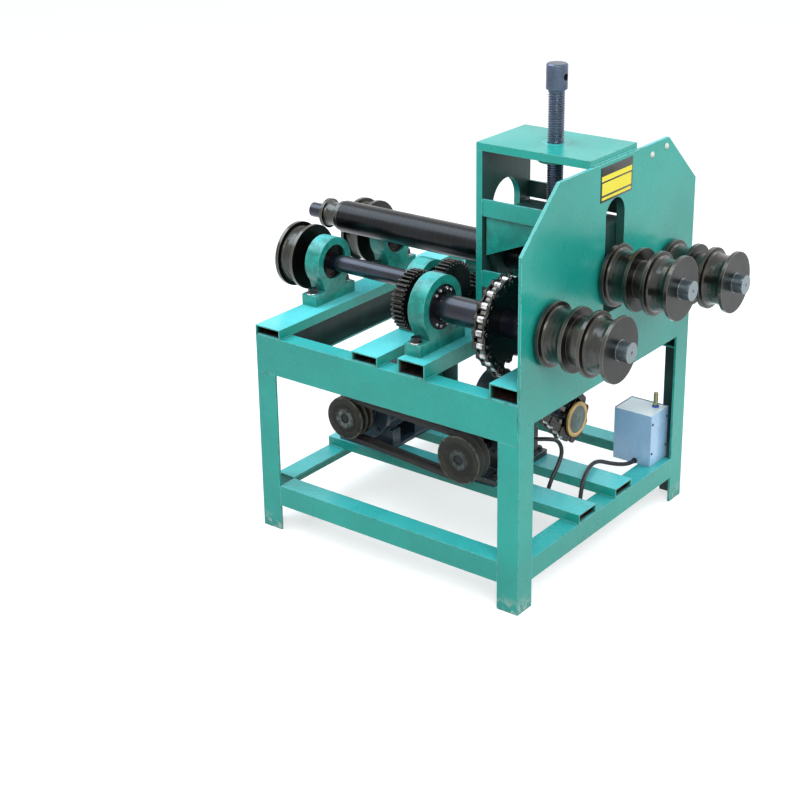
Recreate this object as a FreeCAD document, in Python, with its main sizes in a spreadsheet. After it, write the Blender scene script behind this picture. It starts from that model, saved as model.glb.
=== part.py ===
import FreeCAD, Part
import math
import os
import Sketcher
from FreeCAD import Placement, Rotation, Vector

# Three-roll ring roller on a welded stand, in millimetres.
# X runs along the tube that is bent, Y runs along the roll shafts (the operator
# stands at -Y) and Z is up. The origin is on the floor, in the middle of the
# machine's length and width.

doc = FreeCAD.newDocument("RingRoller")
sheet = doc.addObject("Spreadsheet::Sheet", "Sizes")

SIZES = (
    # the stand
    ("frame_width", 800, "stand, across the shafts"),
    ("frame_depth", 805, "stand, along the shafts"),
    ("front_reach", 214, "from the front plate to the shafts' front ends"),
    ("rear_overhang", 137, "from the stand's rear side to the centre shaft's rear end"),
    ("rail_top", 540, "top of the side rails above the floor"),
    ("rail_height", 100, "channel rails, height"),
    ("rail_flange", 48, "channel rails, flange"),
    ("rail_wall", 5, "channel rails, wall"),
    ("leg_flange", 60, "angle legs, flange"),
    ("leg_wall", 6, "angle legs, wall"),
    ("low_rail_top", 128, "top of the low rails above the floor"),
    ("low_rail_flange", 56, "low angle rails, flange"),
    ("low_rail_wall", 5, "low angle rails, wall"),
    ("tube_width", 80, "rectangular tubes, width"),
    ("tube_wall", 3, "rectangular tubes, wall"),
    ("deep_tube", 40, "front cross tubes, height"),
    ("flat_tube", 26, "rear cross tubes and base tubes, height"),
    ("main_tube_place", 270, "front plate to the main blocks' cross tube"),
    ("middle_tube_place", 412, "front plate to the middle blocks' cross tube"),
    ("middle_block_place", 439, "front plate to the middle blocks"),
    ("base_tube_offset", 88, "base tubes, from the middle plane"),
    # the front plate and the tower
    ("plate_wall", 8, "front plate, thickness"),
    ("guide_bar", 14, "bar around the front slot, thickness"),
    ("slot_gap", 1, "room around the centre tube in the front slot"),
    ("hole_gap", 1, "room around shafts in plates and covers"),
    ("plate_shoulder", 898, "front plate, height of its shoulders"),
    ("plate_top", 1034, "front plate, height of its top edge"),
    ("plate_top_half", 250, "front plate, half length of its top edge"),
    ("slot_top", 939, "front slot, top of its arch"),
    ("slot_bottom", 655, "front slot, bottom"),
    ("tower_width", 212, "tower, across"),
    ("tower_depth", 320, "tower, along the shafts"),
    ("tower_top", 1049, "tower, top face"),
    ("tower_plate", 20, "tower, top plate"),
    ("tower_back_wall", 18, "tower, back plate"),
    ("tower_bar_wall", 6, "tower, side bars, thickness"),
    ("tower_bar_height", 43, "tower, side bars, height"),
    ("upper_bar_top", 909, "tower, top edge of the upper side bars"),
    ("lower_bar_top", 727, "tower, top edge of the lower side bars"),
    ("back_slot_width", 120, "tower back plate, slot width"),
    ("back_slot_bottom", 640, "tower back plate, slot bottom"),
    ("nut_wall", 14, "screw nut, wall"),
    ("nut_lip", 8, "screw nut, how far its flange reaches under the top plate"),
    ("nut_height", 46, "screw nut, height"),
    # the shafts
    ("main_offset", 279, "main shafts, from the middle plane"),
    ("main_radius", 35, "main shafts between sprocket and block, radius"),
    ("roll_seat_radius", 25, "shafts inside the rolls, radius"),
    ("nose_radius", 24, "shaft ends in front of the rolls, radius"),
    ("rear_shaft_radius", 22.5, "rear roll shafts, radius"),
    ("centre_lift", 78.5, "centre shaft above the rear shafts as shown"),
    ("centre_tube_radius", 42.5, "centre tube, outer radius"),
    ("centre_tube_wall", 8, "centre tube, wall"),
    ("bush_length", 50, "bushes in the centre tube, length"),
    ("shaft_gap", 0.05, "running clearance of a shaft in its hole"),
    ("key_gap", 0.3, "clearance beside parts that turn"),
    # the bearing blocks
    ("block_height", 104, "main blocks, foot to axis"),
    ("block_radius", 78, "main blocks, outer radius of the ring"),
    ("block_half_length", 92, "main blocks, half length of the foot"),
    ("block_depth", 46, "bearing blocks, depth along the shaft"),
    ("block_foot", 30, "bearing blocks, foot thickness"),
    ("block_web_inset", 42, "bearing blocks, foot's end to the web"),
    ("bolt_inset", 16, "bearing blocks, foot's end to the bolt"),
    ("cover_radius", 56, "main blocks, bearing cover radius"),
    ("small_block_height", 104, "rear blocks, foot to axis"),
    ("small_block_radius", 66, "rear blocks, outer radius of the ring"),
    ("small_block_half_length", 81, "rear blocks, half length of the foot"),
    ("small_bearing_radius", 46, "rear blocks, bearing radius"),
    ("bearing_width", 30, "bearings, width"),
    ("bolt_radius", 8, "block bolts, shank radius"),
    ("bolt_head", 12, "block bolts, head height"),
    ("washer_wall", 3, "block bolts, washer thickness"),
    ("flange_rim", 30, "flange bearings, how far the flange reaches past the bore"),
    ("flange_wall", 12, "flange bearings, flange thickness"),
    ("flange_boss", 17, "flange bearings, wall of the boss"),
    ("flange_depth", 30, "flange bearings, depth"),
    # the rolls
    ("roll_radius", 78, "front rolls, rim radius"),
    ("roll_groove_radius", 63, "front rolls, radius at the groove's bottom"),
    ("side_neck_radius", 58, "side rolls, neck between the two rolls"),
    ("centre_neck_radius", 47, "centre rolls, neck between the two rolls"),
    ("roll_width", 70, "one front roll, width"),
    ("roll_neck", 38, "front rolls, length of the neck"),
    ("roll_rim", 9, "rolls, rim thickness"),
    ("wheel_radius", 86.5, "rear outer wheels, rim radius"),
    ("wheel_groove_radius", 70, "rear outer wheels, groove radius"),
    ("wheel_width", 58, "rear wheels, width"),
    ("wheel_overhang", 27, "from the stand's rear side to the rear wheels"),
    ("shaft_overhang", 12, "rear shafts' ends behind the wheels"),
    ("small_roll_radius", 40, "rear centre roll, rim radius"),
    ("small_roll_groove", 31, "rear centre roll, groove radius"),
    # gears, sprockets and chain
    ("gear_module", 4, "gears, module"),
    ("gear_teeth", 36, "shaft gears, teeth"),
    ("idler_teeth", 44, "idler gear, teeth"),
    ("gear_width", 32, "gears, face width"),
    ("gear_place", 372, "front plate to the gears"),
    ("axle_radius", 15, "idler's fixed axle, radius"),
    ("hanger_width", 60, "idler's hangers, width"),
    ("hanger_rise", 26, "idler's hangers, above the axle's middle"),
    ("chain_pitch", 31.75, "roller chain, pitch"),
    ("chain_links", 44, "roller chain, number of pitches"),
    ("roller_radius", 9.5, "roller chain, roller radius"),
    ("roller_width", 19, "roller chain, between the inner plates"),
    ("link_wall", 4, "roller chain, plate thickness"),
    ("link_half_height", 13, "roller chain, half height of a plate"),
    ("driven_teeth", 20, "large sprocket, teeth"),
    ("driver_teeth", 10, "small sprocket, teeth"),
    ("sprocket_wall", 17, "sprockets, thickness"),
    ("chain_place", 123, "front plate to the chain's middle plane"),
    ("output_offset", 17, "gearbox output shaft, from the middle plane"),
    ("output_radius", 18, "gearbox output shaft, radius"),
    ("driven_hub_wall", 18, "large sprocket, wall of its hub"),
    ("driven_hub_length", 20, "large sprocket, length of its hub"),
    ("driver_hub_radius", 34.5, "small sprocket, hub radius"),
    ("driver_hub_length", 14, "small sprocket, length of its hub"),
    # belt drive, gearbox and motor
    ("pulley_face", 198, "pulleys' outer face, from the middle plane"),
    ("pulley_width", 48, "pulleys, width"),
    ("pulley_rim", 5, "pulleys, rim and the wall between the grooves"),
    ("groove_depth", 14, "pulleys, depth of the grooves"),
    ("gear_pulley_radius", 65, "gearbox pulley, outer radius"),
    ("motor_pulley_radius", 58, "motor pulley, outer radius"),
    ("worm_height", 243, "gearbox input shaft above the floor"),
    ("gearbox_place", 317, "front plate to the gearbox's middle"),
    ("gearbox_half_depth", 62, "gearbox, half depth along its output shaft"),
    ("gearbox_half_width", 78, "gearbox, half width along its input shaft"),
    ("worm_radius", 14, "gearbox input shaft, radius"),
    ("wheel_case_radius", 76, "gearbox, radius of the wheel's case"),
    ("worm_case_radius", 44, "gearbox, radius of the worm's tunnel"),
    ("gearbox_foot", 16, "gearbox, foot thickness"),
    ("cover_wall", 8, "gearbox, cover thickness"),
    ("wheel_cover_radius", 52, "gearbox, radius of the wheel's covers"),
    ("worm_cover_radius", 34, "gearbox, radius of the worm's covers"),
    ("bore_depth", 60, "gearbox and motor, how deep the shafts' bores go"),
    ("foot_inset", 6, "gearbox and motor feet, from the base tubes' outer sides"),
    ("motor_height", 262, "motor shaft above the floor"),
    ("motor_place", 687, "front plate to the motor shaft"),
    ("motor_radius", 82, "motor, body radius"),
    ("motor_length", 190, "motor, body length"),
    ("motor_shaft_radius", 14, "motor shaft, radius"),
    ("motor_gap", 32, "from the motor's pulley to its body"),
    ("shield_wall", 16, "motor, end shields' thickness"),
    ("fin_wall", 3, "motor, fin thickness"),
    ("fin_height", 12, "motor, fin height with its root"),
    ("motor_foot_depth", 164, "motor, base plate along the shafts"),
    ("motor_foot_wall", 8, "motor, base plate thickness"),
    ("fan_length", 44, "motor, length of the fan cover"),
    ("fan_wall", 3, "motor, fan cover's sheet"),
    ("terminal_width", 92, "terminal box, along the motor"),
    ("terminal_depth", 76, "terminal box, across the motor"),
    ("terminal_height", 34, "terminal box, height without its lid"),
    ("terminal_lid", 7, "terminal box, lid thickness"),
    # the press screw and its carriage
    ("screw_place", 170, "front plate to the screw"),
    ("screw_radius", 20, "screw, outer radius"),
    ("screw_top", 1240, "top of the screw's head above the floor"),
    ("head_radius", 26, "screw head, radius"),
    ("head_height", 63, "screw head, height"),
    ("bar_hole_radius", 9, "cross hole of the screw head, radius"),
    ("bar_hole_drop", 31, "cross hole, below the top of the head"),
    ("carriage_rise", 113.5, "carriage, top face above the centre shaft"),
    ("carriage_half_width", 96, "carriage, half width"),
    ("carriage_plate", 14, "carriage, plates"),
    ("carriage_gap", 18, "carriage, behind the front plate"),
    ("carriage_shoulder", 60, "carriage, depth of the plates' full width below the lid"),
    ("cheek_wall", 6, "carriage, cheeks and their gap to the back plate"),
    ("cheek_height", 84, "carriage, cheeks' height at the rear"),
    ("screw_collar", 12, "screw, height of its collar under the carriage's lid"),
    ("screw_neck", 4, "screw, how much its neck is smaller"),
    # the control box
    ("box_width", 90, "control box, width"),
    ("box_depth", 110, "control box, depth"),
    ("box_height", 146, "control box, height"),
    ("box_inset", 140, "control box, left side from the stand's right side"),
    ("sheet_metal", 1.5, "control box, sheet thickness"),
    ("box_place", 22, "front plate to the control box"),
    ("switch_radius", 6, "switch lever, radius"),
    ("switch_height", 40, "switch lever, height over the box"),
    ("switch_inset", 24, "switch lever, from the box's right side and from its front"),
    ("collar_wall", 3, "switch collar, wall"),
    ("collar_height", 4, "switch collar, height"),
    ("pin_radius", 1.8, "switch lever, radius of its pivot pin"),
    ("cable_radius", 4.5, "motor cable, radius"),
)


class Size:
    """A length that is known as a number and as a spreadsheet expression."""

    def __init__(self, text, value):
        self.text = text
        self.value = float(value)

    def join(self, sign, other, swap=False):
        other = as_size(other)
        first, second = (other, self) if swap else (self, other)
        text = "({} {} {})".format(first.text, sign, second.text)
        if sign == "+":
            value = first.value + second.value
        elif sign == "-":
            value = first.value - second.value
        elif sign == "*":
            value = first.value * second.value
        else:
            value = first.value / second.value
        return Size(text, value)

    def __add__(self, other):
        return self.join("+", other)

    def __radd__(self, other):
        return self.join("+", other, True)

    def __sub__(self, other):
        return self.join("-", other)

    def __rsub__(self, other):
        return self.join("-", other, True)

    def __mul__(self, other):
        return self.join("*", other)

    def __rmul__(self, other):
        return self.join("*", other, True)

    def __truediv__(self, other):
        return self.join("/", other)

    def __rtruediv__(self, other):
        return self.join("/", other, True)

    def __neg__(self):
        return self.join("-", 0, True)


def as_size(number):
    """Makes a plain number behave like a Size."""
    if isinstance(number, Size):
        return number
    return Size("{:.12g}".format(number), number)


def root(number):
    return Size("sqrt({})".format(number.text), math.sqrt(number.value))


for row, (alias, value, note) in enumerate(SIZES, start=1):
    sheet.set("A{}".format(row), str(value))
    sheet.setAlias("A{}".format(row), alias)
    sheet.set("B{}".format(row), note)
size = {alias: Size("Sizes." + alias, value) for alias, value, note in SIZES}
doc.recompute()

nodes = []


def keep(name, shape):
    """Names a finished sub-part: its label is the name of its file."""
    shape.Label = name
    nodes.append(shape)
    return shape


def place(item, x, y, z, rotation=None):
    """Puts an object at a point whose coordinates stay tied to the sheet."""
    x, y, z = as_size(x), as_size(y), as_size(z)
    turn = rotation if rotation else Rotation()
    item.Placement = Placement(Vector(x.value, y.value, z.value), turn)
    item.setExpression("Placement.Base.x", x.text)
    item.setExpression("Placement.Base.y", y.text)
    item.setExpression("Placement.Base.z", z.text)
    return item


def bind(item, prop, number):
    number = as_size(number)
    setattr(item, prop, number.value)
    item.setExpression(prop, number.text)


ALONG_X = Rotation(Vector(0, 1, 0), 90)
ALONG_Y = Rotation(Vector(1, 0, 0), -90)
ALONG_Z = Rotation()


def block(x, y, z, width, depth, height):
    """A box from its low corner."""
    item = doc.addObject("Part::Box", "block")
    bind(item, "Length", width)
    bind(item, "Width", depth)
    bind(item, "Height", height)
    return place(item, x, y, z)


def rod(x, y, z, radius, length, turn=ALONG_Y):
    """A cylinder that starts at a point and runs along an axis."""
    item = doc.addObject("Part::Cylinder", "rod")
    bind(item, "Radius", radius)
    bind(item, "Height", length)
    return place(item, x, y, z, turn)


def cut(base, *tools):
    for tool in tools:
        item = doc.addObject("Part::Cut", "cut")
        item.Base = base
        item.Tool = tool
        base = item
    return base


def fuse(*parts):
    item = doc.addObject("Part::MultiFuse", "fuse")
    item.Shapes = list(parts)
    item.Refine = True
    return item


def group(*parts):
    """Separate solids that share one node."""
    item = doc.addObject("Part::Compound", "group")
    item.Links = list(parts)
    return item


def mirror(source):
    """The same piece on the other side of the middle plane."""
    item = doc.addObject("Part::Mirroring", "mirror")
    item.Source = source
    item.Base = Vector(0, 0, 0)
    item.Normal = Vector(1, 0, 0)
    return item


def pair(source):
    return group(source, mirror(source))


def plane_of(body, role):
    return [item for item in body.Origin.OriginFeatures if item.Role == role][0]


def outline_sketch(body, points, plane="XZ_Plane"):
    """A closed outline of straight lines, each corner tied to the sheet."""
    sketch = body.newObject("Sketcher::SketchObject", "outline")
    sketch.AttachmentSupport = [(plane_of(body, plane), "")]
    sketch.MapMode = "FlatFace"
    corners = [(as_size(a), as_size(b)) for a, b in points]
    ends = [Vector(a.value, b.value, 0) for a, b in corners]
    for number, start in enumerate(ends):
        finish = ends[(number + 1) % len(ends)]
        sketch.addGeometry(Part.LineSegment(start, finish), False)
    for number in range(len(corners)):
        following = (number + 1) % len(corners)
        sketch.addConstraint(Sketcher.Constraint("Coincident", number, 2, following, 1))
    for number, (across, up) in enumerate(corners):
        for kind, distance in (("DistanceX", across), ("DistanceY", up)):
            index = sketch.addConstraint(Sketcher.Constraint(kind, -1, 1, number, 1, distance.value))
            sketch.setExpression("Constraints[{}]".format(index), distance.text)
    return sketch


def plate(points, y, thickness):
    """An upright plate across the machine: points are (x, z), y is its front face."""
    body = doc.addObject("PartDesign::Body", "plate")
    sketch = outline_sketch(body, points)
    pad = body.newObject("PartDesign::Pad", "thickness")
    pad.Profile = sketch
    bind(pad, "Length", thickness)
    body.Tip = pad
    return place(body, 0, as_size(y) + thickness, 0)


def side_plate(points, x, thickness):
    """An upright plate along the machine: points are (y, z), x is its low face."""
    body = doc.addObject("PartDesign::Body", "side")
    sketch = outline_sketch(body, points, "YZ_Plane")
    pad = body.newObject("PartDesign::Pad", "thickness")
    pad.Profile = sketch
    bind(pad, "Length", thickness)
    body.Tip = pad
    return place(body, x, 0, 0)


def turned(profile, x, y, z, turn=ALONG_Y):
    """A turned piece: profile is (radius, distance along the axis) and starts and
    ends on the bore. It is drawn upright and then laid along its axis."""
    body = doc.addObject("PartDesign::Body", "turned")
    sketch = outline_sketch(body, profile)
    revolution = body.newObject("PartDesign::Revolution", "revolution")
    revolution.Profile = sketch
    revolution.ReferenceAxis = (sketch, ["V_Axis"])
    revolution.Angle = 360
    body.Tip = revolution
    return place(body, x, y, z, turn)


# ---------------------------------------------------------------- places

half_width = size["frame_width"] / 2
rear_reach = size["frame_depth"] + size["rear_overhang"]
front = (size["front_reach"] - rear_reach) / 2
back = front + size["frame_depth"]
rail_bottom = size["rail_top"] - size["rail_height"]
deck = size["rail_top"] + size["deep_tube"]
flat_deck = size["rail_top"] + size["flat_tube"]
front_rail_bottom = deck - size["rail_height"]
low_rail_bottom = size["low_rail_top"] - size["low_rail_flange"]
base_deck = size["low_rail_top"] + size["flat_tube"]
plate_back = front + size["plate_wall"]
front_tube_front = front + size["rail_wall"]
block_tube_front = front + size["main_tube_place"]
middle_tube_front = front + size["middle_tube_place"]
rear_tube_front = back - size["tube_width"]
tower_back = plate_back + size["tower_depth"]
tower_half = size["tower_width"] / 2
main_height = deck + size["block_height"]
rear_height = flat_deck + size["small_block_height"]
centre_height = rear_height + size["centre_lift"]
carriage_top = centre_height + size["carriage_rise"]
gear_front = front + size["gear_place"]
gear_back = gear_front + size["gear_width"]
gear_pitch_radius = size["gear_module"] * size["gear_teeth"] / 2
idler_pitch_radius = size["gear_module"] * size["idler_teeth"] / 2
gear_drop = main_height - rear_height
rear_offset = size["main_offset"] - root(
    4 * gear_pitch_radius * gear_pitch_radius - gear_drop * gear_drop)
idler_reach = gear_pitch_radius + idler_pitch_radius
idler_height = rear_height - root(idler_reach * idler_reach - rear_offset * rear_offset)
main_block_front = block_tube_front + size["tube_width"] - size["block_depth"]
rear_block_front = back - size["block_depth"]
middle_block_front = front + size["middle_block_place"]
chain_middle = front + size["chain_place"]
screw_y = front + size["screw_place"]
wheel_front = back + size["wheel_overhang"]
wheel_back = wheel_front + size["wheel_width"]
roll_stack = 2 * size["roll_width"] + size["roll_neck"]
roll_back = front - size["plate_wall"]
roll_front = roll_back - roll_stack
front_end = front - size["front_reach"]
rear_end = front + rear_reach
gearbox_middle = front + size["gearbox_place"]
motor_y = front + size["motor_place"]
box_front = front + size["box_place"]
box_left = half_width - size["box_inset"]


# ---------------------------------------------------------------- the stand

def front_leg():
    """Angle leg whose front flange runs on up to the front rail."""
    flange_front = block(-half_width, front, 0, size["leg_flange"], size["leg_wall"],
                         front_rail_bottom)
    flange_side = block(-half_width, front, 0, size["leg_wall"], size["leg_flange"], rail_bottom)
    return fuse(flange_front, flange_side)


def back_leg():
    flange_back = block(-half_width, back - size["leg_wall"], 0, size["leg_flange"],
                        size["leg_wall"], rail_bottom)
    flange_side = block(-half_width, back - size["leg_flange"], 0, size["leg_wall"],
                        size["leg_flange"], rail_bottom)
    return fuse(flange_back, flange_side)


left_front_leg = front_leg()
left_back_leg = back_leg()
keep("legs", group(left_front_leg, mirror(left_front_leg), left_back_leg, mirror(left_back_leg)))


def front_rail():
    """An angle across the front, its flange below and coped clear of the side rails."""
    flange, wall = size["rail_flange"], size["rail_wall"]
    web = block(-half_width, front, front_rail_bottom, size["frame_width"], wall,
                size["rail_height"])
    foot = block(flange - half_width, front, front_rail_bottom,
                 size["frame_width"] - 2 * flange, flange, wall)
    return fuse(web, foot)


keep("front_rail", front_rail())


def back_rail():
    """The back channel runs between the webs of the side rails."""
    flange, wall = size["rail_flange"], size["rail_wall"]
    length = size["frame_width"] - 2 * flange
    outer = block(flange - half_width, back - flange, rail_bottom, length, flange,
                  size["rail_height"])
    hollow = block(flange - half_width, back - flange, rail_bottom + wall, length, flange - wall,
                   size["rail_height"] - 2 * wall)
    return cut(outer, hollow)


keep("back_rail", back_rail())


def side_rail():
    flange, wall = size["rail_flange"], size["rail_wall"]
    start = front + size["leg_wall"]
    length = size["frame_depth"] - size["leg_wall"]
    outer = block(-half_width, start, rail_bottom, flange, length, size["rail_height"])
    hollow = block(wall - half_width, start, rail_bottom + wall, flange - wall, length,
                   size["rail_height"] - 2 * wall)
    return cut(outer, hollow)


keep("side_rails", pair(side_rail()))


def low_rails():
    """Angle rails near the floor, with their flat flange on top and inwards."""
    flange, wall, leg = size["low_rail_flange"], size["low_rail_wall"], size["leg_flange"]
    width = size["frame_width"] - 2 * leg
    depth = size["frame_depth"] - 2 * leg
    z, top = low_rail_bottom, size["low_rail_top"] - wall
    front_bar = fuse(block(leg - half_width, front, z, width, wall, flange),
                     block(leg - half_width, front, top, width, flange, wall))
    back_bar = fuse(block(leg - half_width, back - wall, z, width, wall, flange),
                    block(leg - half_width, back - flange, top, width, flange, wall))
    side_bar = fuse(block(-half_width, front + leg, z, wall, depth, flange),
                    block(-half_width, front + leg, top, flange, depth, wall))
    return group(front_bar, back_bar, side_bar, mirror(side_bar))


keep("low_rails", low_rails())


def cross_tube(y, height):
    """A rectangular tube across the stand, lying on the side rails, open at its ends."""
    wall = size["tube_wall"]
    outer = block(-half_width, y, size["rail_top"], size["frame_width"], size["tube_width"], height)
    inner = block(-half_width, y + wall, size["rail_top"] + wall, size["frame_width"],
                  size["tube_width"] - 2 * wall, height - 2 * wall)
    return cut(outer, inner)


keep("front_cross_tubes", group(cross_tube(front_tube_front, size["deep_tube"]),
                                cross_tube(block_tube_front, size["deep_tube"])))
keep("rear_cross_tubes", group(cross_tube(middle_tube_front, size["flat_tube"]),
                               cross_tube(rear_tube_front, size["flat_tube"])))


def base_tube():
    wall = size["tube_wall"]
    left = -size["base_tube_offset"] - size["tube_width"] / 2
    outer = block(left, front, size["low_rail_top"], size["tube_width"], size["frame_depth"],
                  size["flat_tube"])
    inner = block(left + wall, front, size["low_rail_top"] + wall, size["tube_width"] - 2 * wall,
                  size["frame_depth"], size["flat_tube"] - 2 * wall)
    return cut(outer, inner)


keep("base_tubes", pair(base_tube()))


# ---------------------------------------------------------------- front plate and tower

def arched_slot(half, bottom, top, y, depth):
    """The cutting tool of an upright slot with a round top."""
    straight = block(-half, y, bottom, 2 * half, depth, top - half - bottom)
    arch = rod(0, y, top - half, half, depth)
    return fuse(straight, arch)


def front_plate():
    """The cut plate, with a bar bent around the slot's edge behind it."""
    slot_half, guide_wall = size["centre_tube_radius"] + size["slot_gap"], size["guide_bar"]
    body = plate(((-half_width, deck), (half_width, deck),
                  (half_width, size["plate_shoulder"]), (size["plate_top_half"], size["plate_top"]),
                  (-size["plate_top_half"], size["plate_top"]),
                  (-half_width, size["plate_shoulder"])), front, size["plate_wall"])
    guide = arched_slot(slot_half + guide_wall, size["slot_bottom"],
                        size["slot_top"] + guide_wall, plate_back, guide_wall)
    slot = arched_slot(slot_half, size["slot_bottom"], size["slot_top"], front,
                       size["plate_wall"] + guide_wall)
    shaft_holes = [rod(side * size["main_offset"], front, main_height,
                       size["main_radius"] + size["hole_gap"], size["plate_wall"])
                   for side in (-1, 1)]
    return cut(fuse(body, guide), slot, *shaft_holes)


keep("front_plate", front_plate())


tower_plate_bottom = size["tower_top"] - size["tower_plate"]
nut_radius = size["screw_radius"] + size["nut_wall"]


def tower_top_plate():
    slab = block(-tower_half, plate_back, tower_plate_bottom, size["tower_width"],
                 size["tower_depth"], size["tower_plate"])
    hole = rod(0, screw_y, tower_plate_bottom, nut_radius, size["tower_plate"], ALONG_Z)
    return cut(slab, hole)


keep("tower_top_plate", tower_top_plate())


def screw_nut():
    """The nut in the top plate that the screw runs through."""
    height = size["nut_height"]
    bottom = size["tower_top"] - height
    body = rod(0, screw_y, bottom, nut_radius, height, ALONG_Z)
    flange = rod(0, screw_y, bottom, nut_radius + size["nut_lip"], height - size["tower_plate"],
                 ALONG_Z)
    hole = rod(0, screw_y, bottom, size["screw_radius"] + size["shaft_gap"], height, ALONG_Z)
    return cut(fuse(body, flange), hole)


keep("screw_nut", screw_nut())


def tower_back_plate():
    body = block(-tower_half, tower_back - size["tower_back_wall"], deck, size["tower_width"],
                 size["tower_back_wall"], tower_plate_bottom - deck)
    slot = arched_slot(size["back_slot_width"] / 2, size["back_slot_bottom"], size["slot_top"],
                       tower_back - size["tower_back_wall"], size["tower_back_wall"])
    return cut(body, slot)


keep("tower_back_plate", tower_back_plate())


def tower_side_bars():
    """Flat bars from the front plate to the back plate, two on each side."""
    length = size["tower_depth"] - size["tower_back_wall"]
    bars = []
    for top in (size["upper_bar_top"], size["lower_bar_top"]):
        bar = block(-tower_half, plate_back, top - size["tower_bar_height"],
                    size["tower_bar_wall"], length, size["tower_bar_height"])
        bars += [bar, mirror(bar)]
    return group(*bars)


keep("tower_side_bars", tower_side_bars())


# ---------------------------------------------------------------- bearing blocks

bolt_play = 0.2
shield_share = 0.16
shield_depth = 0.12
washer_share = 1.9
head_share = 1.6


def bearing_housing(x, y, foot, height, radius, half_length, bore):
    """A cast block: a ring on a long foot, with shoulders between the two."""
    depth = size["block_depth"]
    thickness = size["block_foot"]
    base = block(x - half_length, y, foot, 2 * half_length, depth, thickness)
    ring = rod(x, y, foot + height, radius, depth)
    web_foot = half_length - size["block_web_inset"]
    web_height = 2 * thickness
    web_top = root(radius * radius - (height - web_height) * (height - web_height))
    web = plate(((x - web_foot, foot + thickness), (x + web_foot, foot + thickness),
                 (x + web_top, foot + web_height), (x - web_top, foot + web_height)), y, depth)
    hole = rod(x, y, foot + height, bore, depth)
    bolt_hole = size["bolt_radius"] + bolt_play
    holes = [rod(x + side * (half_length - size["bolt_inset"]), y + depth / 2, foot, bolt_hole,
                 thickness, ALONG_Z) for side in (-1, 1)]
    return cut(fuse(base, ring, web), hole, *holes)


main_blocks = bearing_housing(-size["main_offset"], main_block_front, deck, size["block_height"],
                              size["block_radius"], size["block_half_length"],
                              size["cover_radius"])
middle_blocks = bearing_housing(-rear_offset, middle_block_front, flat_deck,
                                size["small_block_height"], size["small_block_radius"],
                                size["small_block_half_length"], size["small_bearing_radius"])
rear_blocks = bearing_housing(-rear_offset, rear_block_front, flat_deck,
                              size["small_block_height"], size["small_block_radius"],
                              size["small_block_half_length"], size["small_bearing_radius"])
keep("main_housings", pair(main_blocks))
keep("rear_housings", group(middle_blocks, mirror(middle_blocks),
                            rear_blocks, mirror(rear_blocks)))


def bearing(x, y, z, outer, bore):
    """A closed ball bearing: its two rings stand out from the shields between them."""
    width = size["bearing_width"]
    start = y + (size["block_depth"] - width) / 2
    body = rod(x, start, z, outer, width)
    track = (outer + bore) / 2
    lip = (outer - bore) * shield_share
    inset = width * shield_depth
    grooves = []
    for groove_y in (start, start + width - inset):
        wide = rod(x, groove_y, z, track + lip, inset)
        narrow = rod(x, groove_y, z, track - lip, inset)
        grooves.append(cut(wide, narrow))
    hole = rod(x, start, z, bore + size["shaft_gap"], width)
    return cut(body, *grooves, hole)


main_bearing = bearing(-size["main_offset"], main_block_front, main_height, size["cover_radius"],
                       size["main_radius"])
middle_bearing = bearing(-rear_offset, middle_block_front, rear_height,
                         size["small_bearing_radius"], size["rear_shaft_radius"])
rear_bearing = bearing(-rear_offset, rear_block_front, rear_height,
                       size["small_bearing_radius"], size["rear_shaft_radius"])
keep("shaft_bearings", group(main_bearing, mirror(main_bearing), middle_bearing,
                             mirror(middle_bearing), rear_bearing, mirror(rear_bearing)))


def bearing_cover():
    """The cover ring screwed to the front of a main block, a little proud of it."""
    proud = 2
    thickness = (size["block_depth"] - size["bearing_width"]) / 2 + proud
    ring = rod(-size["main_offset"], main_block_front - proud, main_height, size["cover_radius"],
               thickness)
    hole = rod(-size["main_offset"], main_block_front - proud, main_height,
               size["main_radius"] + size["hole_gap"], thickness)
    return cut(ring, hole)


keep("bearing_covers", pair(bearing_cover()))


def hexagon(x, y, z, radius, height):
    """An upright hexagonal prism."""
    item = doc.addObject("Part::Prism", "hexagon")
    item.Polygon = 6
    bind(item, "Circumradius", radius)
    bind(item, "Height", height)
    return place(item, x, y, z)


def housing_bolt(x, y, foot):
    radius, wall = size["bolt_radius"], size["washer_wall"]
    shank = rod(x, y, foot, radius, size["block_foot"], ALONG_Z)
    washer = rod(x, y, foot + size["block_foot"], radius * washer_share, wall, ALONG_Z)
    head = hexagon(x, y, foot + size["block_foot"] + wall, radius * head_share, size["bolt_head"])
    return fuse(shank, washer, head)


def housing_bolts():
    rows = ((size["main_offset"], main_block_front, deck, size["block_half_length"]),
            (rear_offset, middle_block_front, flat_deck, size["small_block_half_length"]),
            (rear_offset, rear_block_front, flat_deck, size["small_block_half_length"]))
    bolts = []
    for offset, y, foot, half_length in rows:
        for side in (-1, 1):
            bolt = housing_bolt(-offset + side * (half_length - size["bolt_inset"]),
                                y + size["block_depth"] / 2, foot)
            bolts += [bolt, mirror(bolt)]
    return group(*bolts)


keep("housing_bolts", housing_bolts())


def flange_bearing():
    """The round flanged bearing behind the front plate that carries a main shaft."""
    x, bore = -size["main_offset"], size["main_radius"] + size["shaft_gap"]
    flange = rod(x, plate_back, main_height, size["main_radius"] + size["flange_rim"],
                 size["flange_wall"])
    boss = rod(x, plate_back, main_height, size["main_radius"] + size["flange_boss"],
               size["flange_depth"])
    return cut(fuse(flange, boss), rod(x, plate_back, main_height, bore, size["flange_depth"]))


keep("flange_bearings", pair(flange_bearing()))


# ---------------------------------------------------------------- rolls and shafts

groove_steps = 6
groove_foot = 0.66
groove_half = 0.45


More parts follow.
